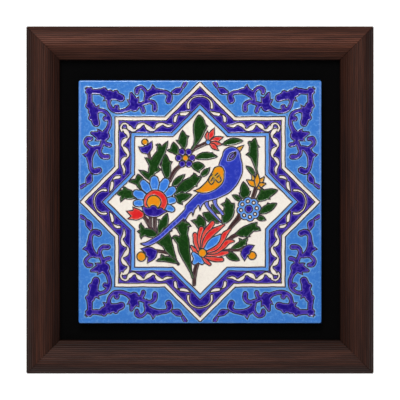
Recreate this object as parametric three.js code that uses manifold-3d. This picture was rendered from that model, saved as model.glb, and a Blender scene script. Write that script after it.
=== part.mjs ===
// A hand-painted ceramic tile in a reeded wooden frame, made to hang on a wall.
// Millimetres, +Z up. The front faces -Y and the wall is the plane y = 0.
// The origin is the middle of the hanger's plate, where the frame is held up.
import * as THREE from "three";
import { mergeVertices } from "three/addons/utils/BufferGeometryUtils.js";
import Module from "manifold-3d";

const wasm = await Module();
wasm.setup();

// The tile
const tileSide = 200;
const tileThickness = 7;
const tileCornerRadius = 1.6;
const tileEdgeRound = 1;

// The raised lines of the eight-pointed star: how far each line's straight
// sides lie from the tile's centre, from the outermost line inwards
const starLineReach = [70.4, 67.2, 57.2, 54];
const lineWidth = 1;
const lineHeight = 0.4;

// The tile's drawing: raised lines around generic figures. Places are in
// millimetres from the tile's centre, on a tile 200 mm wide, and a stroke is a
// row of [x, z, width]. What repeats in the star's band and in the corners is
// given once, for one eighth of the tile.
const drawnTileSide = 200;
const finestHalfWidth = 0.15;
const smallestHollow = 4;
const discSidesPerRoot = 3.4;
const vineStroke = [
  [-63, 63, 0.6], [-55.6, 59.6, 2], [-48, 63.2, 2], [-39.6, 60, 1.8],
  [-32, 63.2, 1.4], [-24.4, 61.6, 1], [-18.4, 70.8, 1.4], [-9, 75, 1],
];
const archStroke = [[-9.6, 76.6, 1.2], [-8.8, 82, 1], [-5.4, 85.6, 0.8], [0, 87.1, 0.8]];
const scrollArm = [[-91, 91, 2.6], [-84, 89.6, 4.2], [-75, 88.6, 5.4], [-67.4, 84.4, 2.4]];
const scrollBranches = [
  [[-75.6, 87.2, 2.4], [-76.6, 79, 2], [-68, 75, 2.4], [-55.8, 79.6, 4], [-46.6, 80.6, 1.2]],
  [[-50, 82, 2.4], [-44.4, 88.2, 3.6], [-36.6, 88.4, 2.4], [-31.6, 82.4, 3]],
];
const stemStrokes = [
  [[-2, -50.8, 3], [-4.6, -68.6, 2]],
  [[7.2, 48.5, 2.6], [-4.6, 43, 2.4], [-8.9, 38.2, 2]],
  [[-15.5, 30, 2.6], [-25.2, 17, 2.4]],
  [[47, 12.6, 2.4], [43.2, 1.6, 2.4]],
  [[33.6, -9, 4], [23.4, -23.2, 2]],
];
// Each leaf is [x and z of its foot, x and z of its tip, width]
const leaves = [
  [-6.6, 43, -0.4, 71, 10.4], [-12.4, 43.2, -14, 58.4, 7.4], [-26.4, 18.4, -28.2, 39, 7.8],
  [-41, 19.6, -25.6, 49.6, 8.6], [-53.4, 3.4, -62, 12.4, 7.4], [-20, 6.6, 1.8, 20.6, 8.6],
  [-3, 37.6, 14.8, 36.4, 6], [47.2, 22.4, 45.8, 52.4, 6.8], [37.4, 2.2, 36, 15.8, 7],
  [47, 1, 64, 9.2, 7], [49.4, -9.4, 63.6, -1.8, 5.8], [19.6, -17.8, 23.4, 2.4, 7.8],
  [31, -27.6, 50, -24.2, 7], [-35.8, -28.4, -51.6, -25, 6.2], [-18.2, -50.8, -29.2, -26, 9.2],
  [-5.6, -62.4, -11.8, -18.2, 10.4],
];
// Each flower is a fan of petals between two angles, under its hearts
const flowers = [
  { centre: [-36.8, 0], petals: 8, from: -20, to: 180, inner: 9, outer: 19, width: 7, hearts: [9.6, 5.8] },
  { centre: [-11.6, 35.6], petals: 6, from: 0, to: 300, inner: 3.4, outer: 7, width: 3.6, hearts: [2.6] },
  { centre: [7.2, 48.6], petals: 4, from: -28, to: 104, inner: 2, outer: 12, width: 4, hearts: [2] },
  { centre: [47, 13], petals: 3, from: 48, to: 130, inner: 2, outer: 9, width: 3.4, hearts: [2] },
  { centre: [40.6, -6.4], petals: 0, hearts: [9, 3.2] },
  { centre: [2.4, -42.4], petals: 7, from: -8, to: 112, inner: 3, outer: 25, width: 4.4, hearts: [3.4] },
];
// The bird: its tail, its body, its wing and its beak
const birdStrokes = [
  [[-5, -2, 7], [-18, -15, 4.6], [-28.6, -25.6, 4], [-39, -33, 3.4], [-47.8, -35.4, 0]],
  [
    [26.3, 37.4, 14.6], [26, 30.6, 18], [24.6, 22.8, 19.8], [19.4, 14.2, 18.2],
    [10.8, 7.6, 14.6], [-1, 0, 9.6], [-9, -5, 4],
  ],
  [[15.8, 24.2, 9.4], [13.8, 18.8, 12], [9, 13, 9.6], [2.2, 9.2, 5.4], [-4.8, 8.8, 0]],
  [[31, 41.8, 4.4], [33.2, 44, 3], [36, 46.2, 0]],
];

// The mount board, and the black margin that it shows around the tile
const marginWidth = 15.7;
const tileBelowMiddle = 1.5;
const boardThickness = 4;
const boardPlay = 0.75;
const adhesiveBed = 0.3;

// The rail's moulding: a domed face with reeds along it, and a rabbet behind
const railWidth = 27.35;
const crownFromOutside = 11.5;
const shoulderDepth = 15;
const crownDepth = 24;
const lipDepth = 12.3;
const reedCount = 16;
const reedHeight = 0.32;
const reedSteps = 6;
const backChamfer = 0.8;
const rabbetWidth = 6.5;
const boardRecess = 4.5;
const rabbetSlack = 0.3;
const mitreGap = 0.3;

// The points: flat steel tabs, pushed into the rabbet's wall behind the board
const pointLength = 15;
const pointWidth = 7;
const pointThickness = 0.5;
const pointBite = 6;
const pointFromMiddle = 68;
const pointClearance = 0.3;

// The sawtooth hanger and its two rivets
const hangerLength = 45;
const hangerWidth = 9;
const hangerThickness = 1;
const hangerEarLength = 8;
const hangerSlope = 2;
const hangerBelowRabbet = 5;
const toothCount = 7;
const toothPitch = 3;
const toothDepth = 2;
const rivetRadius = 1;
const rivetHeadRadius = 2.4;
const rivetHeadHeight = 1.1;
const rivetLength = 3.5;
const rivetSides = 16;
const rivetClearance = 0.3;

// What follows from those sizes
const sightSide = tileSide + 2 * marginWidth;
const frameSide = sightSide + 2 * railWidth;
const rabbetSide = sightSide + 2 * rabbetWidth;
const boardFront = boardRecess + boardThickness;
const rabbetDepth = boardFront + rabbetSlack;
const tileBack = boardFront + adhesiveBed;
const tileFront = tileBack + tileThickness;
const hangerHeight = rabbetSide / 2 - hangerBelowRabbet - hangerWidth / 2;
const earMiddle = hangerLength / 2 - hangerEarLength / 2;

const wood = new THREE.MeshStandardMaterial({ color: 0x3f2a24, roughness: 0.55 });
const blackPaint = new THREE.MeshStandardMaterial({ color: 0x060606, roughness: 0.9 });
const glaze = new THREE.MeshStandardMaterial({ color: 0x3f7bc8, roughness: 0.15 });
const steel = new THREE.MeshStandardMaterial({ color: 0xb4b6b8, roughness: 0.35, metalness: 1 });

// Joining and cutting

function solid(geometry) {
  const bare = geometry.clone();
  bare.deleteAttribute("normal");
  bare.deleteAttribute("uv");
  const merged = mergeVertices(bare, 1e-4);
  return new wasm.Manifold(
    new wasm.Mesh({
      numProp: 3,
      vertProperties: merged.attributes.position.array,
      triVerts: new Uint32Array(merged.index.array),
    }),
  );
}

function geometryOf(manifold) {
  const mesh = manifold.getMesh();
  const geometry = new THREE.BufferGeometry();
  geometry.setAttribute("position", new THREE.BufferAttribute(mesh.vertProperties, 3));
  geometry.setIndex(new THREE.BufferAttribute(mesh.triVerts, 1));
  geometry.computeVertexNormals();
  return geometry;
}

function named(name, geometry, material) {
  const mesh = new THREE.Mesh(geometry, material);
  mesh.name = name;
  return mesh;
}

// A box by its sizes and its centre
function block(width, depth, height, x, y, z) {
  return new THREE.BoxGeometry(width, depth, height).translate(x, y, z);
}

// A flat outline, drawn in x and z, made solid from one depth behind the front
// to another. Depths are counted from the wall towards the viewer.
function slab(shape, fromDepth, toDepth) {
  return new THREE.ExtrudeGeometry(shape, { depth: toDepth - fromDepth, bevelEnabled: false })
    .rotateX(Math.PI / 2)
    .translate(0, -fromDepth, 0);
}

// The frame's rails

// The face's depth at a distance from the rail's outer side: a quarter wave up
// to the crown, and a longer one down to the lip
function domeDepth(fromOutside) {
  if (fromOutside < crownFromOutside) {
    const share = fromOutside / crownFromOutside;
    return shoulderDepth + (crownDepth - reedHeight - shoulderDepth) * Math.sin((share * Math.PI) / 2);
  }
  const share = (fromOutside - crownFromOutside) / (railWidth - crownFromOutside);
  return lipDepth + (crownDepth - reedHeight - lipDepth) * Math.cos((share * Math.PI) / 2);
}

// The moulding's section, with x inwards from the outer side and y out from the wall
function railSection() {
  const section = new THREE.Shape();
  section.moveTo(backChamfer, 0);
  section.lineTo(0, backChamfer);
  const steps = reedCount * reedSteps;
  for (let step = 0; step <= steps; step++) {
    const across = (railWidth * step) / steps;
    const bulge = Math.sin(((step % reedSteps) / reedSteps) * Math.PI);
    section.lineTo(across, domeDepth(across) + reedHeight * bulge);
  }
  section.lineTo(railWidth, rabbetDepth);
  section.lineTo(railWidth - rabbetWidth, rabbetDepth);
  section.lineTo(railWidth - rabbetWidth, 0);
  section.closePath();
  return section;
}

// The top rail, with its ends cut at 45 degrees. The other rails are turned copies.
function railGeometry() {
  const bar = new THREE.ExtrudeGeometry(railSection(), { depth: 1, bevelEnabled: false });
  const place = bar.attributes.position;
  const endCut = mitreGap / Math.SQRT2;
  for (let i = 0; i < place.count; i++) {
    const inwards = place.getX(i);
    const side = place.getZ(i) > 0.5 ? -1 : 1;
    const halfLength = frameSide / 2 - inwards - endCut;
    place.setXYZ(i, side * halfLength, -place.getY(i), frameSide / 2 - inwards);
  }
  let rail = solid(bar);
  for (const side of [-1, 1]) {
    rail = rail.subtract(solid(pointSlot(side * pointFromMiddle)));
  }
  return geometryOf(rail);
}

// The slot that a point is pushed into, in the top rail
function pointSlot(x) {
  return block(
    pointWidth + 2 * pointClearance,
    pointThickness + 2 * pointClearance,
    2 * (pointBite + pointClearance),
    x,
    -pointMiddleDepth(),
    rabbetSide / 2,
  );
}

function pointMiddleDepth() {
  return boardRecess - pointClearance - pointThickness / 2;
}

function pointGeometry(x) {
  const middle = rabbetSide / 2 + pointBite - pointLength / 2;
  return block(pointWidth, pointThickness, pointLength, x, -pointMiddleDepth(), middle);
}

// The tile and its raised star

// The outline of two equal squares, one turned by 45 degrees over the other
function starOutline(reach) {
  const points = [];
  const notch = reach / Math.cos(Math.PI / 8);
  for (let k = 0; k < 8; k++) {
    const tip = (k * Math.PI) / 4;
    const dip = tip + Math.PI / 8;
    points.push(new THREE.Vector2(Math.cos(tip), Math.sin(tip)).multiplyScalar(reach * Math.SQRT2));
    points.push(new THREE.Vector2(Math.cos(dip), Math.sin(dip)).multiplyScalar(notch));
  }
  return points;
}

function starLine(reach) {
  const ring = new THREE.Shape(starOutline(reach + lineWidth / 2));
  ring.holes.push(new THREE.Path(starOutline(reach - lineWidth / 2)));
  return slab(ring, tileFront - tileEdgeRound, tileFront + lineHeight);
}

// The tile's raised drawing. A figure gives its outline, grown all round by a distance.

// A brush stroke through its points. It ends where its width comes to nothing.
function stroke(points) {
  const curve = new THREE.CatmullRomCurve3(points.map((point) => new THREE.Vector3(...point)));
  const samples = points.map((point, i) => {
    const share = i / (points.length - 1);
    const place = curve.getPoint(share);
    const tangent = curve.getTangent(share);
    const along = new THREE.Vector2(tangent.x, tangent.y).normalize();
    return { centre: new THREE.Vector2(place.x, place.y), along, width: place.z };
  });
  return (grow) => {
    const half = (sample) => sample.width / 2 + grow;
    const wide = samples.filter((sample) => half(sample) > finestHalfWidth);
    if (wide.length === 0) {
      return null;
    }
    const side = (sample, way) => {
      const across = new THREE.Vector2(-sample.along.y, sample.along.x);
      return sample.centre.clone().addScaledVector(across, way * half(sample));
    };
    const end = (sample, beyond, way) => {
      if (!beyond) {
        return sample.centre.clone().addScaledVector(sample.along, way * half(sample));
      }
      const share = half(sample) / (half(sample) - half(beyond));
      return sample.centre.clone().lerp(beyond.centre, share);
    };
    const first = samples.indexOf(wide[0]);
    const last = samples.indexOf(wide.at(-1));
    return [
      end(samples[first], samples[first - 1], -1),
      ...wide.map((sample) => side(sample, -1)),
      end(samples[last], samples[last + 1], 1),
      ...wide.toReversed().map((sample) => side(sample, 1)),
    ];
  };
}

function disc(x, z, radius) {
  const sides = Math.ceil(Math.sqrt(radius) * discSidesPerRoot);
  return (grow) =>
    Array.from({ length: sides }, (_, k) => {
      const turn = ((k + 0.5) / sides) * 2 * Math.PI;
      const reach = radius + grow;
      return new THREE.Vector2(x + reach * Math.cos(turn), z + reach * Math.sin(turn));
    });
}

function leafFigure([footX, footZ, tipX, tipZ, width]) {
  const middle = [(footX + tipX) / 2, (footZ + tipZ) / 2, width];
  return stroke([[footX, footZ, width * 0.3], middle, [tipX, tipZ, 0]]);
}

// One of a flower's petals, which all point away from its centre
function petalFigure({ centre: [x, z], petals, from, to, inner, outer, width }, petal) {
  const turn = THREE.MathUtils.degToRad(from + ((to - from) * petal) / (petals - 1));
  const at = (radius, wide) => [x + radius * Math.cos(turn), z + radius * Math.sin(turn), wide];
  return stroke([at(inner, width * 0.6), at((inner + outer) / 2, width), at(outer, width * 0.4)]);
}

function raised(outline, overrun) {
  const shape = new THREE.Shape(outline.map((point) => point.multiplyScalar(tileSide / drawnTileSide)));
  return solid(slab(shape, tileFront - tileEdgeRound - overrun, tileFront + lineHeight + overrun));
}

// Draws figures over what is there: they run together, with a raised line around
// them, and hide what they cover. Plain figures are raised all over.
function drawn(drawing, figures, plain = false) {
  let result = drawing;
  for (const figure of figures) {
    result = result.add(raised(figure(lineWidth / 2), 0));
  }
  for (const figure of plain ? [] : figures) {
    const hollow = figure(-lineWidth / 2);
    if (hollow) {
      result = result.subtract(raised(hollow, tileEdgeRound / 4));
    }
  }
  return result;
}

// A stroke's four copies, one in each corner, each paired with its mirror image
// in the diagonal
function cornerPairs(points) {
  return [[1, 1], [1, -1], [-1, 1], [-1, -1]].map(([signX, signZ]) => [
    stroke(points.map(([x, z, width]) => [signX * x, signZ * z, width])),
    stroke(points.map(([x, z, width]) => [-signX * z, -signZ * x, width])),
  ]);
}

function tileDrawing() {
  let drawing = solid(starLine(starLineReach[0]));
  for (const reach of starLineReach.slice(1)) {
    drawing = drawing.add(solid(starLine(reach)));
  }
  for (const pair of [vineStroke, archStroke, ...scrollBranches].flatMap(cornerPairs)) {
    drawing = drawn(drawing, pair, true);
  }
  for (const pair of cornerPairs(scrollArm)) {
    drawing = drawn(drawing, pair);
  }
  drawing = drawn(drawing, stemStrokes.map(stroke), true);
  for (const leaf of leaves) {
    drawing = drawn(drawing, [leafFigure(leaf)]);
  }
  for (const flower of flowers) {
    for (let petal = 0; petal < flower.petals; petal++) {
      drawing = drawn(drawing, [petalFigure(flower, petal)], flower.width < smallestHollow);
    }
    for (const radius of flower.hearts) {
      drawing = drawn(drawing, [disc(...flower.centre, radius)], radius < smallestHollow);
    }
  }
  for (const points of birdStrokes) {
    drawing = drawn(drawing, [stroke(points)]);
  }
  return drawing;
}

// A square with rounded corners, the given distance inside the tile's edge
function tileOutline(inset) {
  const radius = tileCornerRadius;
  const reach = tileSide / 2 - inset - radius;
  const outline = new THREE.Shape();
  for (let corner = 0; corner < 4; corner++) {
    const turn = (corner * Math.PI) / 2;
    const x = reach * Math.SQRT2 * Math.cos(turn + Math.PI / 4);
    const z = reach * Math.SQRT2 * Math.sin(turn + Math.PI / 4);
    outline.absarc(x, z, radius, turn, turn + Math.PI / 2, false);
  }
  outline.closePath();
  return outline;
}

function tileGeometry() {
  const body = new THREE.ExtrudeGeometry(tileOutline(tileEdgeRound), {
    depth: tileThickness - 2 * tileEdgeRound,
    bevelThickness: tileEdgeRound,
    bevelSize: tileEdgeRound,
    bevelSegments: 3,
    curveSegments: 4,
  });
  body.rotateX(Math.PI / 2).translate(0, -(tileBack + tileEdgeRound), 0);
  const faceSide = tileSide - 2 * tileEdgeRound;
  const face = solid(block(faceSide, tileThickness, faceSide, 0, -tileFront, 0));
  return geometryOf(solid(body).add(tileDrawing().intersect(face)));
}

// The board and the hanger

function rivetHole(x) {
  const length = 2 * (rivetLength + rivetHeadHeight);
  return new THREE.CylinderGeometry(
    rivetRadius + rivetClearance,
    rivetRadius + rivetClearance,
    length,
    rivetSides,
  ).translate(x, -(boardRecess - hangerThickness), hangerHeight);
}

function boardGeometry() {
  const side = rabbetSide - 2 * boardPlay;
  let board = solid(block(side, boardThickness, side, 0, -(boardRecess + boardThickness / 2), 0));
  const holeDepth = rivetLength - hangerThickness + rivetClearance;
  for (const x of [-earMiddle, earMiddle]) {
    const hole = new THREE.CylinderGeometry(
      rivetRadius + rivetClearance,
      rivetRadius + rivetClearance,
      2 * holeDepth,
      rivetSides,
    ).translate(x, -boardRecess, hangerHeight);
    board = board.subtract(solid(hole));
  }
  return geometryOf(board);
}

// A steel strip whose middle stands off the board, flush with the frame's back,
// so that a nail's head fits behind it and the nail bears in a notch
function hangerGeometry() {
  const bridge = hangerLength / 2 - hangerEarLength - hangerSlope;
  const ear = hangerLength / 2;
  const foot = ear - hangerEarLength;
  const bend = hangerThickness / 2;
  const strip = new THREE.Shape();
  strip.moveTo(-bridge, 0);
  strip.lineTo(bridge, 0);
  strip.lineTo(foot, boardRecess - hangerThickness);
  strip.lineTo(ear, boardRecess - hangerThickness);
  strip.lineTo(ear, boardRecess);
  strip.lineTo(foot - bend, boardRecess);
  strip.lineTo(bridge - bend, hangerThickness);
  strip.lineTo(bend - bridge, hangerThickness);
  strip.lineTo(bend - foot, boardRecess);
  strip.lineTo(-ear, boardRecess);
  strip.lineTo(-ear, boardRecess - hangerThickness);
  strip.lineTo(-foot, boardRecess - hangerThickness);
  strip.closePath();
  const bent = new THREE.ExtrudeGeometry(strip, { depth: hangerWidth, bevelEnabled: false })
    .rotateX(Math.PI)
    .translate(0, 0, hangerHeight + hangerWidth / 2);
  let hanger = solid(bent);
  const bottom = hangerHeight - hangerWidth / 2;
  for (let tooth = 0; tooth < toothCount; tooth++) {
    const x = (tooth - (toothCount - 1) / 2) * toothPitch;
    const notch = new THREE.Shape();
    notch.moveTo(x, bottom + toothDepth);
    notch.lineTo(x - toothPitch * 0.6, bottom - toothDepth / 5);
    notch.lineTo(x + toothPitch * 0.6, bottom - toothDepth / 5);
    notch.closePath();
    hanger = hanger.subtract(solid(slab(notch, -hangerThickness, 2 * hangerThickness)));
  }
  for (const x of [-earMiddle, earMiddle]) {
    hanger = hanger.subtract(solid(rivetHole(x)));
  }
  return geometryOf(hanger);
}

// A domed head on the ear, with a shank through the ear into the board
function rivetGeometry(x) {
  const gap = rivetClearance / 3;
  const profile = [new THREE.Vector2(0, -rivetLength)];
  profile.push(new THREE.Vector2(rivetRadius, -rivetLength));
  profile.push(new THREE.Vector2(rivetRadius, gap));
  const domeSteps = 4;
  for (let step = 0; step < domeSteps; step++) {
    const rise = (step / domeSteps) * (Math.PI / 2);
    profile.push(
      new THREE.Vector2(rivetHeadRadius * Math.cos(rise), gap + rivetHeadHeight * Math.sin(rise)),
    );
  }
  profile.push(new THREE.Vector2(0, gap + rivetHeadHeight));
  return new THREE.LatheGeometry(profile, rivetSides).translate(
    x,
    -(boardRecess - hangerThickness),
    hangerHeight,
  );
}

// The framed tile, built around its middle and then hung by its hanger

const framedTile = new THREE.Group();
framedTile.position.z = -hangerHeight;

const rail = railGeometry();
["top", "right", "bottom", "left"].forEach((sideName, turn) => {
  const side = new THREE.Group();
  side.rotation.y = (turn * Math.PI) / 2;
  side.add(named(`rail_${sideName}`, rail, wood));
  for (const [place, x] of [["a", -pointFromMiddle], ["b", pointFromMiddle]]) {
    side.add(named(`board_point_${sideName}_${place}`, pointGeometry(x), steel));
  }
  framedTile.add(side);
});

framedTile.add(named("mount_board", boardGeometry(), blackPaint));
const tile = named("ceramic_tile", tileGeometry(), glaze);
tile.position.z = -tileBelowMiddle;
framedTile.add(tile);
framedTile.add(named("sawtooth_hanger", hangerGeometry(), steel));
framedTile.add(named("hanger_rivet_left", rivetGeometry(earMiddle), steel));
framedTile.add(named("hanger_rivet_right", rivetGeometry(-earMiddle), steel));

export default framedTile;
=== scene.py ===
# %% [markdown]
# # A framed, hand-painted ceramic tile
# The real thing is a square glazed tile, drawn in raised dark lines with a pool of coloured glaze inside
# each outline. It is glued to a black board in a dark, reeded wooden frame. The solid model is brought in
# from model.glb at its real size. Everything here is made around it, in metres, with +Z up and the front
# facing -Y.
# %% Load the solid model
import math
from functools import partial

import bmesh
import bpy
import numpy as np
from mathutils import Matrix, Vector
from mathutils.geometry import delaunay_2d_cdt
from mathutils.kdtree import KDTree


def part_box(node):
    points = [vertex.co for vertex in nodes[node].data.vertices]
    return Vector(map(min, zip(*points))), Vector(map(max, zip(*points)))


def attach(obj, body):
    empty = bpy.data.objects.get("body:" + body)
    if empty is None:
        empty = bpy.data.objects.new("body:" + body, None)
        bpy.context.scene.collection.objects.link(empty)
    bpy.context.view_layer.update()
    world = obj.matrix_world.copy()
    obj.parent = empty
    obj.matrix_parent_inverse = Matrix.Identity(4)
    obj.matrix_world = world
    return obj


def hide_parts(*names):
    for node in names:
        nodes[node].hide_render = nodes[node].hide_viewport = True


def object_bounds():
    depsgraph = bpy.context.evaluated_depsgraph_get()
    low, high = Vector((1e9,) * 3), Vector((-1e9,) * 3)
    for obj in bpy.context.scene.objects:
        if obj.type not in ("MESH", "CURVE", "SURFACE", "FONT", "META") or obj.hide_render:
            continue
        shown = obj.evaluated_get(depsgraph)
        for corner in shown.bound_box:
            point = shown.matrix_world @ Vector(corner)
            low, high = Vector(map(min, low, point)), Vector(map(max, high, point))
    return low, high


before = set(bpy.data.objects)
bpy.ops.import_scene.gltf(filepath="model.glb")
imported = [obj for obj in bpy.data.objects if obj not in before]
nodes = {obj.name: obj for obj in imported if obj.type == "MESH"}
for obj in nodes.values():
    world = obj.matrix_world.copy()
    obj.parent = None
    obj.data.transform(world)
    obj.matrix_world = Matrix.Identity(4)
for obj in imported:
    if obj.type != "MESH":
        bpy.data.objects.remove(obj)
cad_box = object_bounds()
MM = 0.001
print("nodes:", len(nodes), "size in mm:", [round(s / MM, 1) for s in cad_box[1] - cad_box[0]])

# %% [markdown]
# ## Where the tile and the frame lie
# The place and size of the tile and of the frame are read from the solid model. The picture on the tile is
# laid out one by one: most of its places were picked on the photograph, in that picture's pixels, and
# one function turns them into millimetres on the tile.
# %% Measure the tile and the frame
LINE_WIDTH = 1.0
LINE_HEIGHT = 0.4
EDGE_ROUND = 1.0
CORNER_RADIUS = 0.8

tile_low, tile_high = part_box("ceramic_tile")
tile_side = (tile_high.x - tile_low.x) / MM
tile_centre = (tile_low + tile_high) / 2
tile_front = tile_low.y + LINE_HEIGHT * MM
tile_depth = (tile_high.y - tile_low.y) / MM - LINE_HEIGHT
frame_side = cad_box[1].x - cad_box[0].x
frame_middle_z = (cad_box[1].z + cad_box[0].z) / 2
print("tile:", round(tile_side, 2), "mm, frame:", round(frame_side / MM, 2), "mm")

# %% [markdown]
# ## Colours and shader nodes
# Screen colours run from 0 to 255 and aren't linear, while shaders want linear ones, so one helper turns
# them. The others add a node and fill or link its inputs, or open a node group with its named inputs and
# outputs. They keep each material short enough to read.
# %% Helpers for colours and nodes
def srgb(red, green, blue):
    """A screen colour from 0 to 255, as the linear colour that a shader uses."""
    shares = [channel / 255 for channel in (red, green, blue)]
    return tuple(s / 12.92 if s < 0.04 else ((s + 0.055) / 1.055) ** 2.4 for s in shares) + (1.0,)


def feed(tree, socket, value):
    """Links another node's output to a socket, or sets the socket to a number or a colour."""
    if isinstance(value, bpy.types.NodeSocket):
        tree.links.new(value, socket)
    else:
        socket.default_value = value


def add_node(tree, kind, inputs, **settings):
    """Adds a shader node and feeds its inputs."""
    node = tree.nodes.new("ShaderNode" + kind)
    for name, value in settings.items():
        setattr(node, name, value)
    for socket, value in inputs.items():
        feed(tree, node.inputs[socket], value)
    return node


def math_node(tree, operation, *values, clamp=False):
    """The output of one sum."""
    return add_node(tree, "Math", dict(enumerate(values)), operation=operation, use_clamp=clamp).outputs[0]


def mixed(tree, share, first, second):
    """One colour turning into another as the share goes from 0 to 1."""
    return add_node(tree, "Mix", {0: share, 6: first, 7: second}, data_type="RGBA").outputs[2]


def object_place(tree):
    """The place that is shaded, in metres from the object's origin."""
    return add_node(tree, "TexCoord", {}).outputs["Object"]


def noise(tree, place, scale, detail=3.0, roughness=0.55):
    """Cloudy noise from 0 to 1, with about this many clouds to a metre."""
    sockets = {"Vector": place, "Scale": scale, "Detail": detail, "Roughness": roughness}
    return add_node(tree, "TexNoise", sockets).outputs["Fac"]


def ramped(tree, value, low, high, smooth=True):
    """The value brought from the range low to high onto 0 to 1, and held there."""
    sockets = {"Value": value, "From Min": low, "From Max": high}
    kind = "SMOOTHSTEP" if smooth else "LINEAR"
    return add_node(tree, "MapRange", sockets, interpolation_type=kind).outputs["Result"]


def open_group(name, inputs, outputs):
    """A new shader group with its named sockets, and its two end nodes."""
    group = bpy.data.node_groups.new(name, "ShaderNodeTree")
    for label, kind, default in inputs:
        socket = group.interface.new_socket(name=label, in_out="INPUT", socket_type="NodeSocket" + kind)
        socket.default_value = default
    for label, kind in outputs:
        group.interface.new_socket(name=label, in_out="OUTPUT", socket_type="NodeSocket" + kind)
    return group, group.nodes.new("NodeGroupInput").outputs, group.nodes.new("NodeGroupOutput").inputs


print("a mid grey is", round(srgb(128, 128, 128)[0], 3), "when linear")

# %% [markdown]
# ## The pooled glaze
# Each colour lies in a pool between raised lines. It runs thin and pale up against a line and gathers deep
# and strong in the middle, and the fired surface is never quite even. Every corner of the tile's mesh will
# carry its distance to the nearest line, in millimetres, as the attribute `line_distance`. One group turns
# that distance into colour, gloss and a faint ripple, and each glaze gives it two colours of its own.
# %% Group for pooled glaze
def pooled_glaze_group():
    inputs = [
        ("Thin Colour", "Color", (1, 1, 1, 1)),
        ("Deep Colour", "Color", (0, 0, 1, 1)),
        ("Halo Width", "Float", 1.5),
        ("Mottle", "Float", 0.3),
        ("Streaks", "Float", 0.3),
    ]
    outputs = [("Colour", "Color"), ("Roughness", "Float"), ("Height", "Float")]
    group, given, made = open_group("Pooled glaze", inputs, outputs)
    calc, cloud = partial(math_node, group), partial(noise, group, object_place(group))
    distance = add_node(group, "Attribute", {}, attribute_name="line_distance").outputs["Fac"]
    share = calc("DIVIDE", calc("SUBTRACT", distance, LINE_WIDTH / 2), given["Halo Width"])
    clouds = cloud(170.0, 4.0, 0.6)
    shift = calc("MULTIPLY", calc("SUBTRACT", clouds, 0.5), given["Mottle"])
    depth = ramped(group, calc("ADD", share, shift), 0.0, 1.0)
    wisps = ramped(group, cloud(420.0, 3.0, 0.7), 0.46, 0.72)
    unmixed = calc("MULTIPLY", wisps, given["Streaks"])
    full = calc("MULTIPLY", depth, calc("SUBTRACT", 1.0, unmixed))
    pooled = mixed(group, full, given["Thin Colour"], given["Deep Colour"])
    grains = calc("SUBTRACT", cloud(1400.0, 2.0), 0.5)
    brightness = calc("MULTIPLY_ADD", grains, 0.22, 1.0)
    tint = add_node(group, "HueSaturation", {"Value": brightness, "Color": pooled}).outputs["Color"]
    group.links.new(tint, made["Colour"])
    group.links.new(calc("MULTIPLY_ADD", clouds, 0.16, 0.06), made["Roughness"])
    group.links.new(cloud(520.0, 2.0), made["Height"])
    return group


pooled_glaze = pooled_glaze_group()
print("group:", pooled_glaze.name, "with", len(pooled_glaze.nodes), "nodes")

# %% [markdown]
# ## The glazes
# Ten glazes are enough for the whole picture. The deep colour is the one seen in the middle of a pool, and
# the thin one is its edge: violet around cobalt, and grey-green around green. The raised lines are a dark
# manganese brown, which is the same group with two browns.
# %% Make the glazes
def surface_material(name, roughness=0.5, **values):
    """A new material and its Principled shader, with plain values on the shader's own sockets."""
    material = bpy.data.materials.new(name)
    material.use_nodes = True
    shader = material.node_tree.nodes["Principled BSDF"]
    shader.inputs["Roughness"].default_value = roughness
    for label, value in values.items():
        shader.inputs[label.replace("_", " ")].default_value = value
    return material, shader


def bump_into(tree, shader, height, strength, distance):
    """Lets a height that changes over the surface bend its light."""
    sockets = {"Height": height, "Strength": strength, "Distance": distance}
    normal = add_node(tree, "Bump", sockets).outputs["Normal"]
    tree.links.new(normal, shader.inputs["Normal"])


def group_material(name, group, values, strength, distance, **settings):
    """A material that takes its colour, roughness and bump from a group with these values."""
    material, shader = surface_material(name, **settings)
    tree = material.node_tree
    node = tree.nodes.new("ShaderNodeGroup")
    node.node_tree = group
    for label, value in values.items():
        node.inputs[label].default_value = value
    tree.links.new(node.outputs["Colour"], shader.inputs["Base Color"])
    tree.links.new(node.outputs["Roughness"], shader.inputs["Roughness"])
    bump_into(tree, shader, node.outputs["Height"], strength, distance)
    return material


def clouded_material(name, colours, clouds, grain, strength, distance, roughness=0.5, **settings):
    """A material whose colour drifts between two in clouds, and whose bump is a grain."""
    material, shader = surface_material(name, roughness, **settings)
    tree = material.node_tree
    place = object_place(tree)
    tree.links.new(mixed(tree, noise(tree, place, *clouds), *colours), shader.inputs["Base Color"])
    bump_into(tree, shader, noise(tree, place, *grain), strength, distance)
    return material, shader, place


def glaze_material(name, thin, deep, halo, mottle, streaks):
    values = {"Thin Colour": srgb(*thin), "Deep Colour": srgb(*deep)}
    values |= {"Halo Width": halo, "Mottle": mottle, "Streaks": streaks}
    return group_material(name, pooled_glaze, values, 0.25, 0.00012, Coat_Weight=0.35, Coat_Roughness=0.05)


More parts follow.
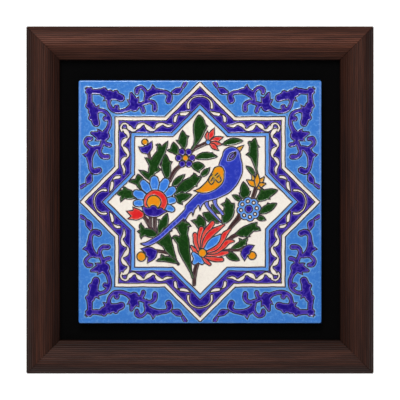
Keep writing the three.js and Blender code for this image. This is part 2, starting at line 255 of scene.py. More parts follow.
glazes = {
    "cream": glaze_material("glaze_cream", (224, 210, 198), (246, 238, 226), 0.9, 0.3, 0.3),
    "sky": glaze_material("glaze_sky_blue", (108, 162, 222), (56, 120, 202), 1.2, 0.8, 0.5),
    "band": glaze_material("glaze_band_blue", (112, 158, 232), (70, 144, 222), 0.8, 0.6, 0.4),
    "petal": glaze_material("glaze_petal_blue", (118, 174, 238), (50, 120, 218), 1.1, 0.7, 0.5),
    "cobalt": glaze_material("glaze_cobalt", (92, 68, 192), (24, 0, 128), 0.9, 0.7, 0.45),
    "bird": glaze_material("glaze_bird_blue", (124, 134, 230), (38, 54, 178), 1.0, 0.4, 0.2),
    "green": glaze_material("glaze_green", (62, 98, 46), (8, 56, 0), 0.7, 0.7, 0.3),
    "red": glaze_material("glaze_red", (226, 96, 78), (222, 30, 34), 0.9, 0.6, 0.4),
    "amber": glaze_material("glaze_amber", (190, 150, 34), (238, 142, 6), 0.9, 0.8, 0.4),
    "stem": glaze_material("glaze_stem_brown", (70, 42, 42), (44, 19, 19), 0.8, 0.3, 0.4),
    "line": glaze_material("glaze_line_brown", (40, 31, 40), (32, 24, 32), 1.0, 0.3, 0.3),
}
print("glazes:", ", ".join(glazes))

# %% [markdown]
# ## Drawing with brush strokes
# Nearly every shape on such a tile is one stroke of a full brush: it lands, swells and lifts off in a point
# or a round end. So one function does most of the drawing. It runs a smooth curve through a few points, each
# with the stroke's width there, and returns the stroke's outline. A leaf is a full blade with a short stroke
# to each tooth.
# %% Strokes, discs and leaves
STEP = 0.85
PHOTO_TILE_WIDTH = 241.6
PHOTO_TILE_CENTRE = (200.75, 202.1)
MM_PER_PIXEL = round(tile_side, 3) / PHOTO_TILE_WIDTH
LEAF_WIDEST = {3: 0.46, 4: 0.66}


def in_mm(pixels):
    """Lengths in the photograph as millimetres on the tile, to a tenth."""
    return np.round(np.array(pixels, float) * MM_PER_PIXEL, 1)


def on_tile(places):
    """Places in the photograph as millimetres from the tile's centre, to a tenth."""
    right_and_up = (np.array(places, float) - PHOTO_TILE_CENTRE) * (1, -1)
    return np.round(right_and_up * MM_PER_PIXEL, 1)


def curve_through(points, step=STEP):
    """A smooth curve through the points. A third number, such as a width, runs along with the place."""
    anchors = np.array(points, float)
    padded = np.vstack([2 * anchors[0] - anchors[1], anchors, 2 * anchors[-1] - anchors[-2]])
    stretches = []
    for a, b, c, d in zip(padded, padded[1:], padded[2:], padded[3:]):
        count = max(2, math.ceil(np.hypot(*(c - b)[:2]) / step))
        t = np.linspace(0, 1, count, endpoint=False)[:, None]
        curve = (c - a) * t + (2 * a - 5 * b + 4 * c - d) * t**2 + (3 * b - a - 3 * c + d) * t**3
        stretches.append(b + curve / 2)
    return np.vstack(stretches + [anchors[-1:]])


def outline_of(spine, half):
    """The outline around a curve with these half widths, with a round end wherever it is still wide."""
    along = np.gradient(spine, axis=0)
    along /= np.linalg.norm(along, axis=1)[:, None]
    across = np.column_stack([-along[:, 1], along[:, 0]])
    sides = spine + across * half[:, None], spine - across * half[:, None]

    def round_end(index, way):
        radius = float(half[index])
        turn = np.linspace(0, math.pi, max(3, math.ceil(math.pi * radius / STEP)) + 1)[1:-1, None]
        return spine[index] + way * radius * (across[index] * np.cos(turn) + along[index] * np.sin(turn))

    return np.vstack([sides[0], round_end(-1, 1), sides[1][::-1], round_end(0, -1)])


def brush(points, widths):
    """The outline of a brush stroke, in millimetres."""
    run = curve_through([(*point, width) for point, width in zip(points, widths)])
    return outline_of(run[:, :2], np.maximum(run[:, 2], 0) / 2)


def stroke(points, widths):
    """The outline of a brush stroke that is given in the photograph's pixels."""
    return brush(on_tile(points), in_mm(widths))


def disc(centre, radius):
    """A round outline, in millimetres."""
    turn = np.linspace(0, 2 * math.pi, max(8, math.ceil(2 * math.pi * radius / STEP)), endpoint=False)
    return np.array(centre) + radius * np.column_stack([np.cos(turn), np.sin(turn)])


def spot(centre, radius):
    """A round outline that is given in the photograph's pixels."""
    return disc(on_tile(centre), in_mm(radius))


def blade(spine, width, widest=0.46, foot=0.2):
    """A full, pointed shape such as a leaf's, in millimetres.

    It is widest at this share of its length, and has a narrow foot.
    """
    run = curve_through(spine)
    share = np.linspace(0, 1, len(run))
    fullness = np.sin(math.pi * share ** (math.log(0.5) / math.log(widest))) ** 0.75
    return outline_of(run, width / 2 * np.maximum(fullness, foot * (1 - share)))


def leaf(spine, width, *teeth):
    """The shapes that run together as a leaf: its blade, and a curved tooth to each further tip.

    It is given in the photograph's pixels. A leaf with three points to its spine is widest near its middle,
    and one with four nearer its tip.
    """
    spine, width = on_tile(spine), in_mm(width)
    shapes = [blade(spine, width, LEAF_WIDEST[len(spine)])]
    run = curve_through(spine, 0.5)
    for tooth in map(on_tile, teeth):
        nearest = int(np.argmin(np.linalg.norm(run - tooth, axis=1)))
        root = run[max(nearest - int(1.1 * width), 0)]
        bend = 0.12 * (root - run[0]) + 0.05 * (tooth - run[nearest])
        shapes.append(brush([root, (root + tooth) / 2 + bend, tooth], [0.6 * width, 0.46 * width, 0]))
    return shapes


print("a stroke 20 mm long has", len(brush([(0, 0), (10, 4), (20, 0)], [1, 4, 0])), "points")

# %% [markdown]
# ## Layers of glaze
# The drawing is kept as layers, the lowest first. Each holds a glaze and the outlines that make up one
# patch. A hand never draws quite straight, so each outline is shifted by a slow wave of a sixth of a
# millimetre. A layer covers whatever lies under it, as the painter's later shapes interrupt the earlier
# ones.
# %% Start the layers
layers = []
loose_lines = []


def by_hand(places):
    """The same places, a little astray, as a hand-guided line is."""
    x, z = np.asarray(places, float).T
    drift_x = 0.11 * np.sin(0.31 * z + 0.17 * x) + 0.06 * np.sin(0.83 * z + 1.1)
    drift_z = 0.11 * np.sin(0.29 * x - 0.19 * z + 2.0) + 0.06 * np.sin(0.77 * x)
    return np.column_stack([x + drift_x, z + drift_z])


def paint(glaze, *outlines):
    """One patch of glaze over what lies there. Outlines that overlap run together."""
    layers.append((glaze, [by_hand(outline) for outline in outlines]))


def draw(points):
    """A dark line of its own over the layers so far, through places in the photograph."""
    loose_lines.append((len(layers), by_hand(curve_through(on_tile(points)))))


def edged(corners, step=2.0):
    """A closed outline of straight sides between the corners."""
    outline = []
    for start, end in zip(corners, np.roll(corners, -1, axis=0)):
        count = max(1, math.ceil(np.linalg.norm(end - start) / step))
        outline.append(start + (end - start) * np.linspace(0, 1, count, endpoint=False)[:, None])
    return np.vstack(outline)


print("layers so far:", len(layers))

# %% [markdown]
# ## The eight-pointed star
# Two equal squares, one turned by 45 degrees over the other, make the star. Four such stars, one inside the
# other, give its frame: a cream border, a cobalt band and a light blue line around the cream field. Each tip
# lies at the square's half side times the root of two, and each notch where the two squares' sides cross.
# %% Paint the star's bands
STAR_REACH = {"cream": 70.1, "cobalt": 66.9, "band": 56.9, "field": 53.8}


def star(reach):
    corners = []
    for k in range(8):
        for turn, radius in ((0, reach * math.sqrt(2)), (math.pi / 8, reach / math.cos(math.pi / 8))):
            angle = k * math.pi / 4 + turn
            corners.append((radius * math.cos(angle), radius * math.sin(angle)))
    return edged(np.array(corners))


for glaze, reach in STAR_REACH.items():
    paint("cream" if glaze == "field" else glaze, star(reach))
print("star tips at", round(STAR_REACH["cream"] * math.sqrt(2), 1), "mm from the centre")

# %% [markdown]
# ## The vine in the cobalt band
# White leaves follow one another along the band, each starting fat and running out thin into the next. The
# band has the symmetry of a square, so only one eighth is laid out, from the corner to the middle of the
# top, and the rest are its mirror images. A hook at each corner joins two rows of leaves into one vine, and
# an arch fills each of the four outer tips. The leaves in the tips and the arch are given in millimetres.
# %% Paint the vine
CORNERS = ((1, 1), (1, -1), (-1, 1), (-1, -1))
VINE_LEAVES = [
    ([(128.6, 126), (130.6, 128.4), (134, 130.7), (137, 130.6), (138.8, 129)], [2.6, 5, 3.5, 2.2, 1.4]),
    ([(138.4, 128.8), (140.4, 126.8), (144.2, 124.8), (147.8, 125.8)], [3.6, 4.8, 2.8, 1.4]),
    ([(147.2, 126.6), (149.8, 128.8), (154, 130.5), (157.6, 128.8)], [3.6, 5, 3.1, 1.4]),
    ([(157.4, 127.6), (159.6, 125.6), (163.4, 124.6), (166.6, 126)], [3.4, 4.4, 2.7, 1.4]),
    ([(165.2, 125.4), (168.2, 126.7), (173.4, 126.4)], [3, 3.2, 1.2]),
]
TIP_LEAVES = [
    ([(-20.6, 66.4), (-20.0, 69.4), (-17.9, 71.9)], [2.6, 2.7, 0.6]),
    ([(-15.6, 72.2), (-11.8, 72.7), (-8.3, 74.4)], [2.8, 3.0, 0.8]),
]
ARCH_WIDTHS = [2.3, 2.0, 1.5, 1.4, 1.5, 2.0, 2.3]
ARCH = [(-9.6, 77.4), (-9.3, 81.5), (-6.0, 85.4), (0, 87.1), (6.0, 85.4), (9.3, 81.5), (9.6, 77.4)]
HOOK = [(123, 131.6), (121.9, 128.4), (123.6, 125.2), (126.6, 124.2), (129.4, 125.6)]
HOOK_WIDTH = 2.4


def mirror_images(points):
    """The eight mirror images that a square's pattern repeats."""
    places = np.array(points, float)
    for turned in (places, places[:, ::-1]):
        for signs in CORNERS:
            yield turned * signs


def corner_strokes(rows, signs):
    """The strokes at one corner of the tile, each followed by its mirror image in the diagonal."""
    strokes = []
    for points, widths in rows:
        places = on_tile(points)
        strokes += [brush(half * signs, in_mm(widths)) for half in (places, -places[:, ::-1])]
    return strokes


def quarter_turns(points):
    """The four copies that turning the tile by a quarter gives."""
    x, z = np.array(points, float).T
    for places in ((x, z), (-z, x), (-x, -z), (z, -x)):
        yield np.column_stack(places)


for signs in CORNERS:
    hook = brush(on_tile(HOOK) * signs, in_mm([HOOK_WIDTH] * len(HOOK)))
    paint("cream", hook, *corner_strokes(VINE_LEAVES, signs))
for points, widths in TIP_LEAVES:
    for places in mirror_images(points):
        paint("cream", brush(places, widths))
for places in quarter_turns(ARCH):
    paint("cream", brush(places, ARCH_WIDTHS))
print("vine leaves:", 8 * len(VINE_LEAVES + TIP_LEAVES))

# %% [markdown]
# ## The scrolls in the corners
# A cobalt scroll springs from each corner along both sides: a heavy arm with a notched edge, a curl that
# holds a small flower, a second branch with two hooks, and two buds at its end. One arm is laid out as
# strokes, with a width at each point. Its mirror image in the diagonal makes the corner, and the strokes run
# into one shape.
# %% Paint the corner scrolls
SCROLL_ARM = [
    ([(89.4, 92.5), (97, 92.5), (103, 92.4), (108, 94.8), (113, 96.4), (118, 97.2), (122.2, 98.8)],
     [5.2, 4.8, 6, 8.2, 8.4, 7.6, 7.2]),
    ([(92.4, 95), (89.8, 92.4), (86.4, 89)], [2.6, 5, 0]),
    ([(105, 94), (105.2, 91.1)], [7, 5.4]),
    ([(110.8, 95), (110.9, 93.3)], [6, 5]),
    ([(116.8, 96), (117.2, 93.8)], [7, 5.2]),
    ([(110.6, 97), (108, 99.6), (104.4, 102)], [5.4, 4, 0]),
    ([(110.8, 97.6), (110, 103.4), (112, 108.6), (116.4, 111.6), (122.4, 112.2), (128.2, 110.4),
      (132.8, 107.4)],
     [6, 3.8, 4, 4.2, 4, 4.2, 6]),
    ([(118, 111), (117.9, 107.9)], [3.6, 5]),
    ([(135.2, 107.6), (134.4, 101.6), (132.4, 94.6)], [9, 8, 2.8]),
    ([(134.8, 105), (131.6, 102.8), (128.2, 100.2)], [7, 4.4, 0]),
    ([(135.2, 105), (137.8, 101.4), (140, 97.6)], [7, 5, 0]),
    ([(136.2, 105.6), (140.6, 106.4), (143.2, 108.4), (144.3, 112)], [7, 4, 4, 4.4]),
    ([(140.6, 105.8), (146.4, 103.5), (151.6, 102.4), (155.6, 105.2), (155.8, 110.4)],
     [4.4, 3.7, 4, 4.4, 4.8]),
    ([(147, 103.6), (147.6, 98.6), (150.8, 94.2), (156, 92.4), (162.2, 92.8), (167.8, 93.8),
      (170.7, 97.2), (169.5, 101.4)],
     [3.6, 5, 7, 6.4, 4.4, 4, 5.6, 6]),
    ([(154, 92.4), (154.2, 89.4), (153.8, 85.4)], [6.4, 5, 0]),
    ([(148, 96), (146, 91.4), (142, 88.6), (138.2, 90.4), (137.9, 93.6)], [4, 3.4, 3.8, 4.6, 4]),
]
SCROLL_BUDS = [
    ([(174.2, 93.2), (178.6, 91.8), (183.4, 88.8)], [3.6, 6.6, 1.6]),
    ([(183.8, 87.6), (186, 83.9)], [3, 4]),
]


for signs in CORNERS:
    paint("cobalt", *corner_strokes(SCROLL_ARM, signs))
    for scroll_bud in corner_strokes(SCROLL_BUDS, signs):
        paint("cobalt", scroll_bud)
print("strokes in a corner:", 2 * (len(SCROLL_ARM) + len(SCROLL_BUDS)))

# %% [markdown]
# ## The branches and leaves
# Behind the bird, brown branches rise from the bottom to the left, the right and the top, each ending in a
# flower. A table gives every stem by the points it passes and its widths, and every leaf by the points of
# its spine, its width and the tips of its teeth.
# %% Paint stems and leaves
STEMS = [
    ([(197.9, 263), (195.9, 271.5), (194.8, 284.5)], [3.6, 3.4, 2.6]),
    ([(209, 143), (203, 145.6), (194.6, 149.6), (189.5, 155.5)], [3.4, 3.2, 3.2, 2.6]),
    ([(182.5, 165), (175.6, 171.6), (170.4, 181)], [3.2, 3.2, 3.0]),
    ([(149.6, 153), (151.3, 161.5), (152.8, 168)], [2.4, 2.2, 2.0]),
    ([(142.6, 214.6), (147.6, 220.4), (152.4, 229.6)], [2.6, 3.0, 2.4]),
    ([(151, 213), (151.6, 226)], [2.6, 2.4]),
    ([(155.8, 213), (155.8, 233)], [3.2, 3.0]),
    ([(257.2, 186.5), (255, 193), (252.8, 199.5)], [3.0, 3.4, 3.0]),
    ([(242.6, 213.6), (237.2, 220.4), (229, 230.4)], [6.0, 4.4, 2.6]),
    ([(226, 242.5), (231.5, 237.8), (239.5, 233.4)], [2.8, 3.0, 3.0]),
    ([(226, 251.2), (234, 249.6), (244.5, 249.8)], [2.6, 2.8, 2.6]),
    ([(157.6, 250.6), (169.4, 253.2)], [2.4, 2.2]),
]
LEAVES = [
    ([(192.8, 150), (197.8, 140), (200.2, 128), (199.8, 115.6)], 12.2, (208.2, 126.6), (205, 121)),
    ([(185, 149.6), (183.8, 140.6), (183.5, 131.2)], 8.4, (177.2, 140.8), (189.6, 137)),
    ([(178.6, 155.4), (175.6, 149.6), (174.4, 142.8)], 8, (167.6, 150.4)),
    ([(168.2, 180), (167, 166.4), (166.2, 154.4)], 9.4, (161.2, 165.4), (173.2, 162.6)),
    ([(150.8, 180), (156, 163.4), (169, 141.8)],
     9.8, (156.8, 145.6), (146, 158.2), (140, 170.4), (162.4, 170)),
    ([(143.4, 190), (141.2, 182.2), (138.9, 174.8)], 9.4, (129.4, 181.9)),
    ([(136.4, 198), (129.6, 194.6), (117.6, 193.2)], 9.6, (125, 186.8), (121.8, 202.4)),
    ([(172.8, 187.6), (179, 180.8), (185.9, 175)], 6.4),
    ([(175.6, 194.4), (189.4, 184.6), (202.6, 177)], 11.4, (194.4, 173.6), (197.8, 186.6)),
    ([(173.8, 200), (182.8, 197.6), (192.4, 195)], 8.6, (183.4, 204.8), (183, 191.8)),
    ([(196, 158.6), (206, 156.4), (217.8, 157)], 7.4, (212.8, 153)),
    ([(192.2, 165.6), (198.6, 166.8), (205.5, 166.6)], 8.8, (200.2, 173)),
    ([(201.4, 177), (206, 172.8), (210.6, 168)], 5.6),
    ([(223.4, 144.8), (232.8, 142.2), (243.5, 141.7)], 6.8),
    ([(257.6, 175), (255.6, 162), (253.8, 150), (255.7, 138.4)],
     8.8, (248.4, 143.6), (246.4, 155.2), (259.8, 147.8)),
    ([(254.8, 177), (251.6, 171.2), (246.5, 166.6)], 4.8),
    ([(245.4, 200), (245.2, 191.4), (243.9, 182.3)], 9.6, (239.4, 193), (251.2, 191.2)),
    ([(242, 201), (238, 198), (233, 195.6)], 4.8),
    ([(256.6, 201), (267, 194.4), (277.8, 190.4)], 9.4, (262, 187.6), (270.4, 199.4)),
    ([(259.6, 213.4), (268.6, 208.4), (277.2, 203.8)], 7.8, (268.2, 203)),
    ([(256.6, 217), (261.4, 218.4), (266.4, 220.2)], 5.4),
    ([(223.8, 224), (229.2, 211.6), (227.4, 198.6)], 11, (235.2, 203.5), (221.6, 204.8)),
    ([(218.6, 222.6), (211, 217.4), (203.7, 213.2)], 10),
    ([(212.4, 205.4), (216.2, 209.8), (219.8, 213.8)], 5.4),
    ([(203.6, 230.6), (201.2, 222.4), (199.8, 215)], 9.8, (191.9, 220.9)),
    ([(236.6, 234), (247, 231), (257.6, 222.6)], 10, (260.8, 231), (250.6, 236.6)),
    ([(232.4, 248.4), (240.8, 244.8), (248.5, 238)], 6.4, (239.4, 238.2), (247.4, 245.4)),
    ([(225.2, 251), (232.8, 256.4), (240, 260.4)], 7.6),
    ([(159.6, 236.4), (148.6, 232.4), (138.4, 231.2)], 8.6, (142.3, 223), (142, 239)),
    ([(160.5, 237.4), (163.8, 226), (168.6, 213.8)], 9, (158.7, 219.8)),
    ([(179, 264), (173.6, 255), (168, 243.6), (165, 228)], 11, (157.4, 242.6), (172.8, 231)),
    ([(179, 263), (168.6, 259), (157.4, 260.8)], 5.8, (162.4, 254.4)),
    ([(194, 277.6), (188.8, 263), (184.6, 247), (185, 228.6)],
     11.6, (187.6, 221.8), (181, 223), (176, 228.4), (172.6, 238.8), (192, 226.4)),
]
for points, widths in STEMS:
    paint("stem", stroke(points, widths))
for spine, width, *teeth in LEAVES:
    paint("green", *leaf(spine, width, *teeth))
print("stems:", len(STEMS), "leaves:", len(LEAVES))

# %% [markdown]
# ## The flowers
# The flowers are built from strokes around a centre. A helper gives a petal that points away from one. A bud
# is a cup of two pointed petals with an amber heart. The buds and the tulip are given in the photograph's
# pixels. The lily's and the amber flower's petals have a width in millimetres, and the lily's also an angle
# in degrees and a reach in millimetres.
# %% Paint the flowers
def around(centre, radius, degrees):
    """The place at this distance and angle from a centre."""
    angle = math.radians(degrees)
    return np.array(centre) + radius * np.array([math.cos(angle), math.sin(angle)])


def petal(centre, inner, outer, degrees, foot, belly):
    """A petal that points away from the centre, narrow at its foot and round at its end."""
    radii = (inner, inner + 0.5 * (outer - inner), outer - 0.38 * belly)
    return brush([around(centre, radius, degrees) for radius in radii], [foot, belly, 0.84 * belly])


def bud(heart, radius, base, belly, tips, width):
    """A bud: an amber heart, and a cobalt cup of pointed petals from its base, full around its belly."""
    paint("amber", spot(heart, radius))
    root, width = on_tile(base), in_mm(width)
    petals = [brush([root, 0.55 * root + 0.45 * tip, tip], [0.7 * width, width, 0]) for tip in on_tile(tips)]
    paint("cobalt", *petals, disc(on_tile(belly), 0.5 * width))


BUDS = [
    ((145.9, 142.5), 3.2, (148.2, 152.4), (147.2, 149), [(139.8, 147.2), (153, 142)], 6.2),
    ((142.4, 256.6), 4.6, (156, 252), (150.4, 253.4), [(141.8, 248.8), (148.4, 262.8)], 7.4),
    ((252.6, 255.5), 4, (244.6, 250.2), (247.4, 251.8), [(254.6, 245.6), (245.2, 260.8)], 6.6),
]
TULIP_FOOT = (141.4, 215)
TULIP = [
    ((137.6, 212), (133.8, 207.4), 6.6),
    ((136.6, 217.2), (128.8, 219), 6.4),
    ((135, 213.8), (127.4, 211.2), 7.2),
]
for row in BUDS:
    bud(*row)
paint("red", *(stroke([TULIP_FOOT, middle, tip], [width, width, 0]) for middle, tip, width in TULIP))

small_flower = on_tile((186.3, 158.5))
for degrees in range(0, 360, 60):
    paint("cobalt", disc(around(small_flower, in_mm(6.8), degrees), in_mm(3.3)))
paint("amber", disc(small_flower, in_mm(3.1)))

lily = on_tile((208.8, 142.9))
LILY_PETALS = ((94, 9.4, 4.6), (67, 12.8, 4.8), (19, 13.2, 4.8), (-9, 12.3, 3.8), (-37, 11.0, 4.2))
for degrees, reach, width in LILY_PETALS:
    ends = [around(lily, radius, degrees) for radius in (1.7, 0.55 * reach, reach)]
    paint("red", brush(ends, [1.3, width, 0]))
paint("petal", disc(lily, in_mm(2.3)))

amber_foot = on_tile((257, 186.8))
AMBER_PETALS = [
    ((252.6, 175.6), 3.6),
    ((264.2, 177.8), 4.2),
    ((265.4, 184.4), 4.0),
    ((247.8, 180.6), 4.8),
    ((261, 189.4), 3.0),
    ((257.9, 174.2), 4.4),
]
for tip, width in AMBER_PETALS:
    middle = (amber_foot + on_tile(tip)) / 2
    paint("amber", brush([amber_foot, middle, on_tile(tip)], [1.9, width, 1.1]))
print("small flowers done, layers:", len(layers))

# %% [markdown]
# The round blue flower is a scalloped disc with a ring of white dots. The largest flower has a fan of blue
# petals around a red ring and an amber heart, in a cobalt cup. Each petal of the fan has an angle in degrees,
# and a reach and a width in millimetres.
# %% Paint the two large blue flowers
ringed = on_tile((249.3, 209.4))
dot_angles = [8 + 45 * k for k in range(8)]
scallops = [disc(around(ringed, in_mm(7.8), degrees), in_mm(4.2)) for degrees in dot_angles]
paint("band", disc(ringed, in_mm(9)), *scallops)
for degrees in dot_angles:
    paint("cream", disc(around(ringed, in_mm(7.9), degrees), in_mm(1.7)))
paint("cobalt", disc(ringed, in_mm(3.9)))

great = on_tile((156.5, 202.1))
FAN = [
    (-25, 17, 5.6),
    (5, 17, 6.3),
    (184, 18.2, 6.6),
    (35, 19.9, 7.8),
    (156, 19.9, 7.6),
    (63, 21.2, 7.9),
    (123, 20.9, 7.6),
    (93, 21.2, 7.8),
]
for degrees, outer, belly in FAN:
    paint("petal", petal(great, in_mm(9), outer, degrees, in_mm(4.6), belly))
heart = spot((154.9, 202.6), 7)
cup = stroke([(142.6, 206.6), (148.6, 211.4), (157.5, 212.6), (168.8, 211.4)], [0, 8, 8.8, 0])
CUP_BUMPS = [((154.6, 209.6), 4), ((148, 210.6), 2.8), ((161.4, 211), 3)]
paint("red", disc(great, in_mm(11.7)))
paint("amber", heart)
paint("cobalt", cup, *(spot(place, radius) for place, radius in CUP_BUMPS))
print("petals of the largest flower:", len(FAN))

# %% [markdown]
# The red flower's petals curve outwards from its foot. Those behind are painted first, and the blue drop in
# its middle, the amber ball and the blue calyx last.
# %% Paint the red flower
RED_PETALS = [
    ([(199.4, 252.4), (195.6, 250.2), (192, 246.6)], [3, 4, 2]),
    ([(204.2, 258), (206.6, 261), (210.4, 264.2)], [3, 4, 3]),
    ([(206.2, 256.4), (214, 259), (222.4, 259.6)], [3, 5, 4]),
    ([(207, 254.8), (219, 254.2), (228, 252.4)], [3, 5.4, 3.4]),
    ([(199.8, 250.6), (196.4, 243), (196, 235)], [3, 4.2, 4.8]),
    ([(201.4, 248.6), (200.2, 238.4), (201.9, 229)], [3, 4.6, 5]),
    ([(208, 252.6), (216, 251.4), (223.4, 246.6), (228, 242.2), (233.9, 241.2)], [3, 5, 5.6, 5.2, 2]),
    ([(202.4, 248.4), (203.8, 239.6), (207.8, 230.8), (213.2, 223.4)], [3, 4.6, 5.4, 4.6]),
    ([(207.6, 251.4), (215.6, 248.4), (221.6, 241.4), (225.4, 234.4), (231.3, 229.2)], [3, 5, 5.4, 5.2, 1.6]),
    ([(203.8, 248.4), (206.2, 240.8), (213.6, 232), (224.9, 224.7)], [3, 5, 6.2, 1.6]),
]
DROP = [(205.6, 249.6), (211.8, 243.8), (217, 239.4), (222, 233.6)]
CALYX_FOOT = (198.6, 258.4)
CALYX_TIPS = [(194.6, 254), (195, 262.6), (202.8, 262.4)]
amber_ball = spot((203.2, 252.8), 4.1)
for points, widths in RED_PETALS:
    paint("red", stroke(points, widths))
paint("petal", stroke(DROP, [3.6, 8.2, 7.6, 0]))
paint("petal", *(stroke([CALYX_FOOT, tip], [8.4, 4.4]) for tip in CALYX_TIPS))
paint("amber", amber_ball)
print("red petals:", len(RED_PETALS))

# %% [markdown]
# ## The bird
# The bird looks up to the right, over everything else: one long stroke for its head and body, a second for
# the tail, short ones for the tail's side feathers, then the legs, wing, beak and eye. Its body is plain
# blue, and a few brown curls mark the wing's feathers.
# %% Paint the bird
body = stroke(
    [(232.2, 156.6), (231.4, 164.5), (230, 174), (223.6, 184.4), (213.2, 191.6), (201.4, 198.2),
     (189.8, 207.6)],
    [18.2, 23, 24.2, 21.6, 17, 10.8, 7.8],
)
tail = stroke(
    [(194.6, 205), (186, 213.6), (178.2, 221.2), (170, 228.4),
     (162, 236), (153, 241.8), (147, 244.3), (142, 243.9)],
    [8.4, 6, 5.4, 5.2, 5, 5, 3.8, 0.8],
)
feathers = [
    stroke([(196.4, 202.6), (194, 208.6), (193.6, 216.4)], [8, 4.4, 0]),
    stroke([(191, 207), (187.2, 213.4), (185.2, 222.4)], [8, 5.6, 0]),
    stroke([(204.4, 199.6), (201.6, 204.8), (200.8, 210.8)], [6, 3.4, 0]),
]
LEG_WIDTHS = [4.8, 3.2, 2.8, 1.4]
LEGS = [
    [(206.4, 200), (208.4, 206.6), (214.2, 213.8), (221.7, 222)],
    [(215, 199), (216.4, 205.6), (223.4, 214.4)],
]
beak = stroke([(237.2, 151.6), (240.4, 148.9), (244.1, 145.8)], [6, 4.2, 0])
wing = stroke(
    [(219.4, 172.4), (217, 179), (211, 186), (203, 190.4), (194.4, 191)],
    [11.4, 14.4, 11.6, 6.6, 0],
)
WING_CURLS = [
    [(212.6, 175.2), (209.9, 178), (209.4, 181.8), (212, 185), (214.2, 182.8), (214.6, 179.4)],
    [(211.6, 181.4), (213.8, 177.4)],
    [(215.4, 176.4), (218.6, 173.4)],
    [(217.2, 178.2), (220, 175.6)],
    [(216.2, 180.4), (219, 182.6), (221.8, 180.6), (220.8, 177.6)],
]
EYE = [(228.4, 160.8), (232.4, 157), (236.8, 152.6)]
EYE_MARK = [(230, 159.4), (232.6, 157), (235.4, 153.9)]

for leg in LEGS:
    paint("bird", stroke(leg, LEG_WIDTHS[: len(leg)]))
paint("amber", beak)
paint("bird", body, tail, *feathers)
paint("amber", wing)
for curl in WING_CURLS:
    draw(curl)
paint("bird", blade(on_tile(EYE), in_mm(5.8)))
paint("cobalt", blade(on_tile(EYE_MARK), in_mm(2.6)))
print("layers in all:", len(layers), "loose lines:", len(loose_lines))

# %% [markdown]
# ## Which lines show
# Every patch has a raised dark outline, but a later layer hides the part that it covers, and patches that
# run together have no line between them. So an outline's point is drawn only if no later layer covers it,
# and if its own layer lies on one side of it and not on both. Where an outline dips under another, its last
# visible point is found by halving the step.
# %% Find the visible lines
PROBE = 0.12
HALVINGS = 6
BOX_MARGIN = 0.5
TINY = 1e-9
SHARPEST_TURN = 0.55


def inside(places, outline):
    """Which places a closed outline winds around."""
    x, z = places[:, :1], places[:, 1:]
    x0, z0 = outline.T
    x1, z1 = np.roll(outline, -1, axis=0).T
    side = (x1 - x0) * (z - z0) - (x - x0) * (z1 - z0)
    return ((z0 <= z) & (z1 > z) & (side > 0)).sum(1) != ((z0 > z) & (z1 <= z) & (side < 0)).sum(1)


def covered(places, outlines):
    """Which places lie inside any of the outlines."""
    hit = np.zeros(len(places), bool)
    for outline in outlines:
        near = np.all((places > outline.min(0)) & (places < outline.max(0)), axis=1) & ~hit
        where = np.flatnonzero(near)
        if len(where):
            hit[where] = inside(places[where], outline)
    return hit


def overlapping(outline, outlines):
    """Those of the outlines whose box meets this one's."""
    low, high = outline.min(0) - BOX_MARGIN, outline.max(0) + BOX_MARGIN
    return [other for other in outlines if np.all(other.min(0) < high) and np.all(other.max(0) > low)]


def across_of(ways):
    """The unit directions at right angles to these."""
    return np.column_stack([-ways[:, 1], ways[:, 0]]) / (np.linalg.norm(ways, axis=1) + TINY)[:, None]


def sideways(places, closed):
    """At each place of a line, the direction across it, longer where the line turns a corner."""
    if closed:
        before, after = places - np.roll(places, 1, axis=0), np.roll(places, -1, axis=0) - places
    else:
        step = np.diff(places, axis=0)
        before, after = np.vstack([step[:1], step]), np.vstack([step, step[-1:]])
    across_before = across_of(before)
    mean = across_before + across_of(after)
    mean /= (np.linalg.norm(mean, axis=1) + TINY)[:, None]
    return mean / np.maximum(np.sum(mean * across_before, axis=1), SHARPEST_TURN)[:, None]


def visible_stretches(outline, closed, own, later):
    """The stretches of an outline that show, each a row of places."""
    own, later = overlapping(outline, own), overlapping(outline, later)

    def shows(places, across):
        both = covered(places + PROBE * across, own) & covered(places - PROBE * across, own)
        return ~both & ~covered(places, later)

    across = sideways(outline, closed)
    shown = shows(outline, across)
    if shown.all():
        return [np.vstack([outline, outline[:1]]) if closed else outline]
    if not shown.any():
        return []
    if closed:
        first = int(np.flatnonzero(~shown)[0])
        outline, across, shown = (np.roll(a, -first, axis=0) for a in (outline, across, shown))
        outline, across, shown = (np.concatenate([a, a[:1]]) for a in (outline, across, shown))

    def last_seen(seen, unseen):
        """Where the line goes under, between a visible place and a hidden one."""
        low, high = outline[seen], outline[unseen]
        for _ in range(HALVINGS):
            middle = (low + high) / 2
            if shows(middle[None], across[seen : seen + 1])[0]:
                low = middle
            else:
                high = middle
        return low

    stretches = []
    edges = np.flatnonzero(np.diff(shown.astype(int)))
    starts = [0] if shown[0] else []
    starts += [k + 1 for k in edges if shown[k + 1]]
    for start in starts:
        end = start
        while end + 1 < len(shown) and shown[end + 1]:
            end += 1
        places = [outline[start : end + 1]]
        if start > 0:
            places.insert(0, last_seen(start, start - 1)[None])
        if end + 1 < len(shown):
            places.append(last_seen(end, end + 1)[None])
        stretches.append(np.vstack(places))
    return stretches


def thinned(places, least=0.3):
    """The places without those that crowd the one before, so that no sliver of a face is made."""
    kept = [places[0]]
    for place in places[1:]:
        if np.linalg.norm(place - kept[-1]) > least:
            kept.append(place)
    if len(kept) > 2 and np.linalg.norm(places[-1] - kept[-1]) > 0:
        kept[-1] = places[-1]
    return np.array(kept)


